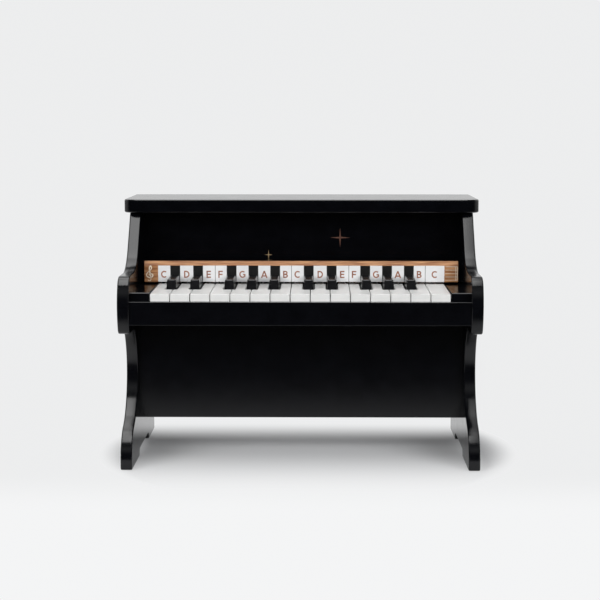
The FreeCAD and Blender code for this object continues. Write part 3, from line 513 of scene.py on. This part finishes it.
print("hammer:", HAMMER[:, 1].max(), "mm above its lever")

# %% [markdown]
# A white key is moulded, so it is a hollow cap: a T-shaped top with rounded edges
# and a skirt that hangs down round the head. A black key is a block whose sides and
# front lean in.

# %% White keys
KEY_FRONT, HEAD_BACK, KEY_BACK, WHITE_LEVER_FRONT = 14.0, 56.2, 114.0, 84.0
KEY_TOP, TOP_THICK = 207.6, 9.6
KEY_CORNER, KEY_EDGE, TOP_FLAT = 1.2, 0.6, 0.8   # the top is flat from TOP_FLAT inwards
SKIRT_TOP, SKIRT_FOOT, SKIRT_EDGE, SKIRT_WALL = 198.2, 191.1, 0.4, 1.8


def white_key(middle, left, right, neck_left, neck_right):
    """T-shaped top with a rounded rim, a skirt round the head and the lever."""
    corners = [(left, KEY_FRONT), (right, KEY_FRONT)]
    if neck_right != right:
        corners += [(right, HEAD_BACK), (neck_right, HEAD_BACK)]
    corners += [(neck_right, KEY_BACK), (neck_left, KEY_BACK)]
    if neck_left != left:
        corners += [(neck_left, HEAD_BACK), (left, HEAD_BACK)]
    plan = rounded(corners, KEY_CORNER)
    rows = np.concatenate([[(TOP_FLAT, 0.0)], rim(KEY_EDGE), [(0.0, TOP_THICK)]])
    top = loft([point(*inset(plan, shrink).T, KEY_TOP - fall) for shrink, fall in rows])
    head = rounded(rectangle(left, KEY_FRONT, right, HEAD_BACK), KEY_CORNER)
    inner = rounded(rectangle(left + SKIRT_WALL, KEY_FRONT + SKIRT_WALL, right - SKIRT_WALL,
                              HEAD_BACK - SKIRT_WALL), KEY_CORNER)
    skirt = loft([point(*head.T, SKIRT_TOP), point(*head.T, SKIRT_FOOT + SKIRT_EDGE),
                  point(*inset(head, SKIRT_EDGE).T, SKIRT_FOOT),
                  point(*inner.T, SKIRT_FOOT), point(*inner.T, SKIRT_TOP)], closed=True)
    return join(top, skirt, lever(middle, WHITE_LEVER_FRONT))


for note, _, middle, left, right, neck_left, neck_right in white_keys:
    points, faces = white_key(middle, left, right, neck_left, neck_right)
    key = make_piece(f"white_cap_{note}", (at_rest(points), faces), f"key_{note}",
                     "white_plastic")
    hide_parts(f"white_key_{note}")
print("white keys made:", len(white_keys))

# %% Black keys
BLACK_HALF, SIDE_LEAN, BLACK_CORNER = 6.2, 1.1, 2.0
BLACK_FRONT, FRONT_LEAN, BLACK_BACK = 57.2, 2.6, 108.8
BLACK_SHOULDER, BLACK_EDGE = 217.4, 1.4
BLACK_TALL = BLACK_SHOULDER + BLACK_EDGE - LEVER_TOP
EDGE_TURN = np.linspace(0.25, np.pi / 2, 6)      # angles of the rows round the top edge


def black_key(middle):
    """A block on the lever whose sides and front lean in, more with its height.

    The top edge is a quarter round: r sin t up and r (1 - cos t) inwards.
    """
    heights = np.concatenate([[LEVER_TOP, BLACK_SHOULDER],
                              BLACK_SHOULDER + BLACK_EDGE * np.sin(EDGE_TURN)])
    shrinks = np.concatenate([[0, 0], BLACK_EDGE * (1 - np.cos(EDGE_TURN))])
    rings = []
    for height, shrink in zip(heights, shrinks):
        share = (height - LEVER_TOP) / BLACK_TALL
        half = BLACK_HALF - SIDE_LEAN * share
        front = BLACK_FRONT + FRONT_LEAN * share
        plan = rounded(rectangle(middle - half, front, middle + half, BLACK_BACK), BLACK_CORNER)
        rings.append(point(*inset(plan, shrink).T, height))
    return join(loft(rings), lever(middle, BLACK_FRONT))


for note, middle in black_keys:
    points, faces = black_key(middle)
    key = make_piece(f"black_cap_{note}", (at_rest(points), faces), f"key_{note}",
                     "black_plastic")
    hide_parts(f"black_key_{note}")
print("black keys made:", len(black_keys))

# %% [markdown]
# ## The return springs
#
# One steel comb is clamped between the name rail behind the strip and the shelf above
# it. Each of its leaves bends down onto a lever and turns up at the tip. A leaf is a
# thin strip, its side view carried sideways. When a key is pressed its tail lifts the
# leaf; here the leaves are made once in place and don't move with the keys.

# %% Spring comb
COMB_FRONT, COMB_BACK, COMB_UNDER, COMB_CORNER = 116.0, 125.0, 223.9, 0.6
SHEET, LEAF_HALF, TIP_STEP = 0.6, 2.52, 1.5
LEAF_REST = np.array([161.37, 202.57])           # where a leaf's underside lies on its lever
BLEND_END = (161.4, 202.6)
base = rounded(rectangle(-ROW_HALF, COMB_FRONT, ROW_HALF, COMB_BACK), COMB_CORNER)
comb = make_piece("spring_comb_base",
                  loft([point(*base.T, height) for height in (COMB_UNDER, COMB_UNDER + SHEET)]),
                  "case", "spring_steel")
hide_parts("spring_comb")
root = np.array([COMB_BACK, COMB_UNDER])
run = root + (LEAF_REST - root) * np.linspace(0, 1, 15)[:, None]
tip = LEAF_REST + TIP_STEP * np.array([[1], [2]])
underside = np.concatenate([run, tip])
side = np.concatenate([underside, (underside + (0, SHEET))[::-1]])
for note, middle in [(key[0], key[2]) for key in white_keys] + black_keys:
    leaf = make_piece(f"spring_leaf_{note}",
                      loft([point(middle + x, *side.T) for x in (-LEAF_HALF, LEAF_HALF)]),
                      "case", "spring_steel", ride=False)
    point(middle, COMB_BACK, COMB_UNDER) * MM
    point(middle, *BLEND_END) * MM
    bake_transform(leaf)
print("leaves:", len(white_keys) + len(black_keys))

# %% [markdown]
# ## The printed note strip
#
# Behind the keys stands a strip of varnished wood with a white label over each white
# key. The print is flat, so each colour is a sheet of quads a few hundredths of a
# millimetre in front of the wood, white first, then the black marks and the letters.
# The letters are strokes: a line or an arc given a width, the way a sign painter
# would write a plain block letter.

# %% Print tools
STRIP_FACE, INK_STEP = box_of("note_strip")[0][1], 0.04


def ink_depth(layer):
    """Depth of a layer of ink, INK_STEP in front of the layer under it."""
    return STRIP_FACE - INK_STEP * layer


def sheet(outlines, layer):
    """Flat polygons in one layer of ink, facing the front."""
    shells = []
    for flat in outlines:
        across, up = np.asarray(flat, float).T
        shells.append((point(across, ink_depth(layer), up), [list(range(len(flat)))]))
    return join(*shells)


print("the strip's face is", round(STRIP_FACE, 2), "mm behind the front")


# %% Pen strokes
def ribbon(path, width, depth):
    """A strip of quads along a path: each point steps half the width to both sides."""
    path = np.asarray(path, float)
    along = np.gradient(path, axis=0)
    along /= np.linalg.norm(along, axis=1, keepdims=True)
    half = np.broadcast_to(width, len(path))[:, None] / 2
    across = half * np.stack([-along[:, 1], along[:, 0]], -1)
    edges = np.concatenate([path - across, path + across])
    i = np.arange(len(path) - 1)
    quads = np.stack([i, i + 1, i + 1 + len(path), i + len(path)], -1)
    return point(edges[:, 0], depth, edges[:, 1]), quads.tolist()


def oval(cx, cy, rx, ry, start, end, steps=24):
    """Points on part of an ellipse: centre + (rx cos t, ry sin t)."""
    t = np.radians(np.linspace(start, end, steps))
    return np.stack([cx + rx * np.cos(t), cy + ry * np.sin(t)], -1)


def smooth_path(knots, steps=8):
    """A Catmull-Rom curve: a cubic between knots that passes through every one."""
    knots = np.asarray(knots, float)
    p = np.concatenate([2 * knots[:1] - knots[1:2], knots, 2 * knots[-1:] - knots[-2:-1]])
    a, b, c, d = (p[i:len(p) - 3 + i, None] for i in range(4))
    t = np.linspace(0, 1, steps, endpoint=False)[None, :, None]
    curve = 0.5 * (2 * b + (c - a) * t + (2 * a - 5 * b + 4 * c - d) * t ** 2
                   + (3 * b - a - 3 * c + d) * t ** 3)
    return np.concatenate([curve.reshape(-1, knots.shape[1]), knots[-1:]])


print("a curve through 3 knots has", len(smooth_path(rectangle(0, 0, 1, 1)[:3])), "points")

# %% Labels
LABEL_LOW, LABEL_HIGH, MARK_HALF, LINE_HALF = 209.9, 229.5, 5.9, 0.35
on_strip = dict(body="case", slot="printed_wood", turn_out=False)
labels = sheet([rectangle(-ROW_HALF, LABEL_LOW, ROW_HALF, LABEL_HIGH)], 1)
make_piece("note_labels", labels, material=ink["white"], **on_strip)
marks = sheet([rectangle(x - MARK_HALF, LABEL_LOW, x + MARK_HALF, LABEL_HIGH)
               for _, x in black_keys], 2)
make_piece("black_key_marks", marks, material=ink["black"], **on_strip)
group_ends = np.cumsum([len(letters) for letters in GROUPS])[:-1]
edges = PITCH * group_ends - ROW_HALF
lines = sheet([rectangle(x - LINE_HALF, LABEL_LOW, x + LINE_HALF, LABEL_HIGH)
               for x in edges], 2)
make_piece("label_lines", lines, material=ink["grey"], **on_strip)
print("marks:", len(black_keys), "lines:", len(edges))

# %% Shapes of the letters
STEM_X, TOP_BEAM, FOOT_BEAM = 0.16, 0.915, 0.085  # in shares of a letter's height


def beam(end, height):
    """A level stroke from the stem."""
    return [(STEM_X, height), (end, height)]


stem = [(STEM_X, 0.0), (STEM_X, 1.0)]
hook = oval(0.46, 0.5, 0.38, 0.41, 48, 312)
LETTERS = {
    "A": [[(0.06, 0.0), (0.44, 0.98)], [(0.44, 0.98), (0.82, 0.0)],
          [(0.20, 0.27), (0.68, 0.27)]],
    "B": [stem, oval(0.36, 0.725, 0.25, 0.19, -90, 90), oval(0.36, 0.29, 0.30, 0.205, -90, 90),
          beam(0.37, TOP_BEAM), beam(0.37, 0.515), beam(0.37, FOOT_BEAM)],
    "C": [hook],
    "D": [stem, oval(0.34, 0.5, 0.42, 0.415, -90, 90), beam(0.35, TOP_BEAM),
          beam(0.35, FOOT_BEAM)],
    "E": [stem, beam(0.70, TOP_BEAM), beam(0.66, 0.5), beam(0.70, FOOT_BEAM)],
    "F": [stem, beam(0.70, TOP_BEAM), beam(0.66, 0.49)],
    "G": [hook, [(0.52, 0.46), (0.86, 0.46)], [(0.775, 0.46), (0.775, 0.16)]],
}
print("strokes:", {letter: len(paths) for letter, paths in LETTERS.items()})

# %% Note letters
STROKE, TALL, LETTER_FOOT, LETTER_HALF = 1.5, 8.5, 214.7, 0.45
strokes = []
for index, (_, letter, *_) in enumerate(white_keys):
    start = PITCH * index - ROW_HALF
    end, half_way = start + PITCH, start + PITCH / 2
    right_edges = [x + MARK_HALF for _, x in black_keys]
    left_edges = [x - MARK_HALF for _, x in black_keys]
    cell_left = max([start] + [x for x in right_edges if start < x < half_way])
    cell_right = min([end] + [x for x in left_edges if half_way < x < end])
    corner = np.array([(cell_left + cell_right) / 2 - LETTER_HALF * TALL, LETTER_FOOT])
    for path in LETTERS[letter]:
        strokes.append(ribbon(corner + np.asarray(path) * TALL, STROKE, ink_depth(3)))
make_piece("note_letters", join(*strokes), material=ink["copper"], **on_strip)
print("letters:", len(white_keys))

# %% [markdown]
# A clef stands at the left end of the strip and a few lines of a staff at the right.
# The clef is one smooth path through knots that swells and thins like a pen stroke.

# %% Music signs at the ends
SIGN_DEPTH, BAR_LINE_DEPTH = STRIP_FACE - 0.05, STRIP_FACE - 0.08
CLEF_FOOT, CLEF_SCALE, THIN, SWELL = (-186.9, 212.7), (8.8, 6.6), 0.85, 0.8
STAFF_LEFT, STAFF_RIGHT, STAFF_LOW, STAFF_HIGH = 173.6, 188.0, 212.0, 228.4
STAFF_LINE, BAR_LINE_OVER = 0.5, 0.3
BAR_LINES = ((186.0, 0.45), (STAFF_RIGHT, 0.8))  # place and width of the double bar line
clef = smooth_path([(0.40, 0.72), (0.45, 0.98), (0.72, 1.02), (0.90, 0.78), (0.78, 0.46),
                    (0.48, 0.34), (0.16, 0.50), (0.04, 0.84), (0.16, 1.20), (0.42, 1.52),
                    (0.66, 1.84), (0.74, 2.16), (0.62, 2.46), (0.48, 2.28), (0.44, 1.90),
                    (0.52, 1.20), (0.60, 0.50), (0.64, 0.0), (0.52, -0.26), (0.30, -0.22),
                    (0.26, -0.06)])
pen = THIN + SWELL * np.sin(np.linspace(0.3, 2.2 * np.pi, len(clef))) ** 2
signs = [ribbon(CLEF_FOOT + clef * CLEF_SCALE, pen, SIGN_DEPTH)]
for height in np.linspace(STAFF_LOW, STAFF_HIGH, 5):
    signs.append(ribbon([(STAFF_LEFT, height), (STAFF_RIGHT, height)], STAFF_LINE, SIGN_DEPTH))
for across, wide in BAR_LINES:
    signs.append(ribbon([(across, STAFF_LOW - BAR_LINE_OVER), (across, STAFF_HIGH + BAR_LINE_OVER)],
                        wide, BAR_LINE_DEPTH))
make_piece("music_signs", join(*signs), material=ink["cream"], **on_strip)
print("music signs:", len(signs), "strokes, the clef has", len(clef), "points")

# %% [markdown]
# Two small stars are printed on the panel above the keys. A thin four-pointed star
# has eight corners: the four tips, and between them four points close to its middle.

# %% Stars
STAR_DEPTH = box_of("upper_front_panel")[0][1] - 0.06
CORNERS = 8
# name, ink, x, height, half width, half height, waist
STARS = (("small_star", "gold", -41.0, 237.6, 5.0, 6.2, 0.62),
         ("large_star", "rose", 47.7, 259.0, 12.4, 12.4, 1.05))


def star(x, height, half_width, half_height, waist):
    """A fan of triangles round the middle; every second corner is a tip.

    A corner at angle t lies at (a cos t, b sin t): a and b are the half sizes at a tip,
    and the waist times root 2 between two tips.
    """
    i = np.arange(CORNERS)
    t = i * 2 * np.pi / CORNERS
    wide = np.where(i % 2 == 0, half_width, waist * math.sqrt(2)) * np.cos(t)
    tall = np.where(i % 2 == 0, half_height, waist * math.sqrt(2)) * np.sin(t)
    points = point(np.append(x + wide, x), STAR_DEPTH, np.append(height + tall, height))
    return points, np.stack([np.full(CORNERS, CORNERS), i, (i + 1) % CORNERS], -1).tolist()


on_panel = dict(body="case", slot="black_lacquer", turn_out=False)
for name, colour, *sizes in STARS:
    make_piece(name, star(*sizes), material=ink[colour], **on_panel)
print("stars:", len(STARS))

# %% [markdown]
# ## Screw heads on the back
#
# The back panel is held by four screws. A head is a height over a polar grid: a
# shallow dome, less a cross for the driver, and the rim drops to the panel. The same
# grid is moved to the four corners.

# %% Shape of a screw head
HEAD, DOME, FLATTENING = 3.2, 1.8, 0.82
SLOT_HALF, SLOT_REACH, SLOT_DEEP = 0.5, 1.75, 0.95
SIDE_EASE, END_EASE = 0.16, 0.3                  # width of a slot's sloping walls


def slot_share(along, aside):
    """1 inside one slot of the cross, easing to 0 at its walls by w * w * (3 - 2 w)."""
    beside = np.clip((SLOT_HALF - np.abs(aside)) / SIDE_EASE, 0, 1)
    within = np.clip((SLOT_REACH - np.abs(along)) / END_EASE, 0, 1)
    wall = beside * within
    return wall * wall * (3 - 2 * wall)


radius = HEAD * np.linspace(0.02, 1, 26)[:, None]
angle = np.linspace(0, 2 * np.pi, 72, endpoint=False)
across, up = radius * np.cos(angle), radius * np.sin(angle)
cross = np.maximum(slot_share(across, up), slot_share(up, across))
dome = DOME * np.sqrt(1 - FLATTENING * (radius / HEAD) ** 2) - SLOT_DEEP * cross
print("screw head:", dome.shape, "grid,", round(dome.max(), 2), "mm high")

# %% Screws
BACK_FACE = box_of("back_panel")[1][1]
SCREW_X, SCREW_HEIGHTS, SHANK = 173.0, (176.0, 285.0), 1.5
SHANK_ROWS = ((HEAD, 0.0), (SHANK, 0.0), (SHANK, -10.0), (0.3, -12.0))  # radius, depth
shells = []
for x in (-SCREW_X, SCREW_X):
    for height in SCREW_HEIGHTS:
        rows = [point(x + a, BACK_FACE + d, height + u) for a, d, u in zip(across, dome, up)]
        for r, behind in SHANK_ROWS:
            rows.append(point(x + r * np.cos(angle), BACK_FACE + behind,
                              height + r * np.sin(angle)))
        shells.append(loft(rows))
screws = make_piece("back_screws", join(*shells), "case", "steel")
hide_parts("back_panel_screws")
print("screws:", len(shells))

# %% [markdown]
# ## Studio
#
# The piano stands on a pale sheet, as in a catalogue. Black lacquer shows only what
# it mirrors, so the room draws the light: long softboxes overhead, which the coves,
# the noses and the waists catch, a pale wall behind, and the dark side of the studio
# in front, because that is what upright panels send back to the camera.
#
# What a mirror should show and what matt paint needs are not the same strength, so
# each softbox overhead is a pair: one lamp that only mirrors show, and a weaker one
# that lights only matt surfaces, so that the white keys don't burn out. The two
# fills at the sides light the key fronts and are hidden from mirrors, because a
# black lid seen from behind would show them as white sheets.


# %% Node helpers
def axes_of(tree, kind):
    """The X, Y and Z outputs of a tree's Object or Generated coordinates."""
    place = tree.nodes.new("ShaderNodeTexCoord")
    split = tree.nodes.new("ShaderNodeSeparateXYZ")
    tree.links.new(place.outputs[kind], split.inputs["Vector"])
    return split.outputs["X"], split.outputs["Y"], split.outputs["Z"]


def ease(value, low, high, to_low=0.0, to_high=1.0):
    """A Map Range node with a smooth step between low and high; returns its output."""
    tree = value.id_data
    node = tree.nodes.new("ShaderNodeMapRange")
    node.interpolation_type = "SMOOTHSTEP"
    for name, number in (("From Min", low), ("From Max", high), ("To Min", to_low),
                         ("To Max", to_high)):
        node.inputs[name].default_value = number
    tree.links.new(value, node.inputs["Value"])
    return node.outputs["Result"]


def combine(operation, first, second):
    """A Math node; second is another output or a plain number."""
    tree = first.id_data
    node = tree.nodes.new("ShaderNodeMath")
    node.operation = operation
    tree.links.new(first, node.inputs[0])
    if isinstance(second, float):
        node.inputs[1].default_value = second
    else:
        tree.links.new(second, node.inputs[1])
    return node.outputs[0]


print("node helpers are ready")

# %% Floor sheet
FLOOR_HALF, FLOOR_CELLS, FLOOR_HEIGHT = 8.0, 40, -0.0004  # metres
grid = np.linspace(-FLOOR_HALF, FLOOR_HALF, FLOOR_CELLS + 1)
x, y = np.meshgrid(grid, grid, indexing="ij")
points = np.stack([x, y, np.full_like(x, FLOOR_HEIGHT)], -1).reshape(-1, 3)
index = np.arange(len(points)).reshape(x.shape)
quads = np.stack([index[:-1, :-1], index[1:, :-1], index[1:, 1:], index[:-1, 1:]], -1)
mesh = bpy.data.meshes.new("floor")
mesh.from_pydata(points, [], quads.reshape(-1, 4).tolist())
floor = bpy.data.objects.new("floor", mesh)
bpy.context.scene.collection.objects.link(floor)
print("floor:", len(mesh.polygons), "quads")

# %% [markdown]
# Near the piano the floor is an ordinary sheet of paper that takes the shadow. Away
# from it the sheet shows the even tone of the backdrop, so that no horizon is seen.
# It has a little painted light in front of the feet, as paper under a lamp has. Far in
# front the paper's colour fades to a painted shade, dark like the unlit side of the
# studio. Mirrors see the even tone too, but only beside and behind the piano, since in
# front of it they should see the dark side of the studio.

# %% Where the tones change
SHADOW_MIDDLE = 0.008
# each pair is where a change begins and ends: y in metres, or a squared distance
# the first pair is where the paper fades into its painted shade far in front
PAINTED_SHADE_RAMP, CLOSE_BEHIND, BEFORE_FEET = (-0.52, -0.19), (0.045, 0.165), (-0.21, -0.005)
MIRROR_FRONT, GLOW_FRONT = (-0.45, -0.10), (-0.30, -0.12)
SHADOW_EDGE, MIRROR_ASIDE, GLOW_REACH = (0.044, 0.066), (1.0, 3.0), (0.5, 3.0)
GLOW, MIRROR_REST = 0.07, 0.1    # extra light before the feet, what mirrors keep far aside


def floor_masks(x, y):
    """How much of the even tone the camera sees, mirrors see, and its glow, as outputs."""
    aside = combine("SUBTRACT", x, SHADOW_MIDDLE)
    aside = combine("MULTIPLY", aside, aside)
    around = combine("ADD", aside, combine("MULTIPLY", y, y))
    rear = combine("POWER", combine("MAXIMUM", y, 0.0), 2.0)
    behind = ease(y, *CLOSE_BEHIND)
    seen = combine("MAXIMUM", ease(around, *SHADOW_EDGE), behind)
    seen = combine("MAXIMUM", seen, ease(y, *BEFORE_FEET, 1.0, 0.0))
    mirrored = combine("MAXIMUM", ease(combine("ADD", aside, rear), *SHADOW_EDGE), behind)
    mirrored = combine("MULTIPLY", mirrored, ease(y, *MIRROR_FRONT))
    mirrored = combine("MULTIPLY", mirrored, ease(aside, *MIRROR_ASIDE, 1.0, MIRROR_REST))
    glow = combine("MULTIPLY", ease(around, *GLOW_REACH, GLOW, 0.0),
                   ease(y, *GLOW_FRONT, 1.0, 0.0))
    return seen, mirrored, glow


print("the shadow ends", round(math.sqrt(SHADOW_EDGE[1]), 2), "m from the middle")

# %% Paper and backdrop
PALE = (0.845, 0.85, 0.855, 1)
PAPER = (0.68, 0.685, 0.695, 1)
# painted shade: the paper's colour far in front, dark like the unlit side of the studio
PAINTED_FRONT_SHADE = (0.02, 0.02, 0.02, 1)
material = bpy.data.materials.new("paper_floor")
material.use_nodes = True
tree = material.node_tree
nodes, links = tree.nodes, tree.links
x, y, _ = axes_of(tree, "Object")
paper = nodes["Principled BSDF"]
paper.inputs["Roughness"].default_value = 0.9
paper.inputs["Specular IOR Level"].default_value = 0.0
# the base colour fades from the paper to the painted shade far in front
tone = nodes.new("ShaderNodeMix")
tone.data_type = "RGBA"
tone.inputs[6].default_value = PAINTED_FRONT_SHADE              # sockets 6 and 7 are the two colours
tone.inputs[7].default_value = PAPER
links.new(ease(y, *PAINTED_SHADE_RAMP), tone.inputs["Factor"])
links.new(tone.outputs[2], paper.inputs["Base Color"])
seen, mirrored, glow = floor_masks(x, y)
rays = nodes.new("ShaderNodeLightPath").outputs
mirror_rays = combine("MAXIMUM", rays["Is Glossy Ray"], rays["Is Transmission Ray"])
share = combine("MAXIMUM", combine("MULTIPLY", rays["Is Camera Ray"], seen),
                combine("MULTIPLY", mirror_rays, mirrored))
even = nodes.new("ShaderNodeEmission")
even.inputs["Color"].default_value = PALE
links.new(combine("ADD", glow, 1.0), even.inputs["Strength"])
blend = nodes.new("ShaderNodeMixShader")
links.new(share, blend.inputs["Fac"])
links.new(paper.outputs["BSDF"], blend.inputs[1])
links.new(even.outputs["Emission"], blend.inputs[2])
links.new(blend.outputs["Shader"], nodes["Material Output"].inputs["Surface"])
mesh.materials.append(material)
print("floor finish:", len(nodes), "nodes")

# %% Lamps
OVERHEAD_X, OVERHEAD_HEIGHT, OVERHEAD_WIDE = -0.12, 1.75, 1.0
# name, y, length, radiance in mirrors, radiance on matt surfaces
OVERHEADS = (("overhead_front", -0.60, 1.4, 4.3, 3.6), ("overhead_back", 0.62, 1.04, 2.6, 2.5))
FILL_X, FILL_Y, FILL_HEIGHT, FILL_WIDE, FILL_LONG = 1.27, -1.63, 0.95, 1.3, 0.95
FILL_AIM = (0, 0, 0.2)


def make_lamp(name, place, aim, wide, long, radiance, mirrored):
    """A soft rectangle that looks from its place to the aim; power = pi x area x radiance.

    Mirrored lamps show in glossy surfaces alone, the others light matt surfaces alone.
    """
    data = bpy.data.lights.new(name, "AREA")
    data.shape = "RECTANGLE"
    data.size, data.size_y, data.energy = wide, long, math.pi * wide * long * radiance
    lamp = bpy.data.objects.new(name, data)
    bpy.context.scene.collection.objects.link(lamp)
    x, y, z = np.subtract(aim, place)
    heading = math.atan2(y, x) - math.pi / 2 if x or y else 0.0
    lamp.location = place
    lamp.visible_glossy, lamp.visible_diffuse = mirrored, not mirrored
    lamp.rotation_euler = (math.atan2(math.hypot(x, y), -z), 0, heading)


for name, y, long, mirror_radiance, light_radiance in OVERHEADS:
    place, below = (OVERHEAD_X, y, OVERHEAD_HEIGHT), (OVERHEAD_X, y, 0)
    make_lamp(f"{name}_mirror", place, below, OVERHEAD_WIDE, long, mirror_radiance, True)
    make_lamp(f"{name}_light", place, below, OVERHEAD_WIDE, long, light_radiance, False)
for name, x, radiance in (("left_fill", -FILL_X, 7.3), ("right_fill", FILL_X, 6.7)):
    make_lamp(name, (x, FILL_Y, FILL_HEIGHT), FILL_AIM, FILL_WIDE, FILL_LONG, radiance, False)
print("lamps:", 2 * len(OVERHEADS), "overhead and 2 at the sides")

# %% [markdown]
# The room is a world that looks at directions only. It is pale behind the piano and
# to the sides, dims towards the ceiling, and is nearly dark low down in front. The
# camera itself always sees the pale tone.

# %% Room
CEILING, CEILING_TONE = (0.5, 0.75), 0.2
FRONT_TO_BACK = (-0.35, 0.35)
FRONT_RISE, FRONT_LOW, FRONT_HIGH = (0.25, 0.55), 0.03, 0.40
world = bpy.data.worlds.new("room")
bpy.context.scene.world = world
world.use_nodes = True
tree = world.node_tree
_, y, z = axes_of(tree, "Generated")
walls = ease(z, *CEILING, 1.0, CEILING_TONE)
front = combine("MAXIMUM", ease(y, *FRONT_TO_BACK), ease(z, *FRONT_RISE, FRONT_LOW, FRONT_HIGH))
rays = tree.nodes.new("ShaderNodeLightPath").outputs
strength = combine("MAXIMUM", combine("MULTIPLY", walls, front), rays["Is Camera Ray"])
background = tree.nodes["Background"]
tree.links.new(strength, background.inputs["Strength"])
background.inputs["Color"].default_value = PALE
print("room:", len(tree.nodes), "nodes")

# %% [markdown]
# ## Camera
#
# The picture was taken from nearly straight ahead and a little above, with a long
# lens, so that the sides hardly spread.

# %% Camera
view = bpy.data.cameras.new("camera")
view.lens, view.sensor_width = 90.0, 36.0
camera = bpy.data.objects.new("camera", view)
bpy.context.scene.collection.objects.link(camera)
camera.location = (0.0198, -1.8199, 0.40376)
camera.rotation_euler = (math.radians(83.157), 0.0, math.radians(0.6725))
bpy.context.scene.camera = camera
bpy.context.scene.view_settings.view_transform = "Standard"
print("camera:", view.lens, "mm lens")
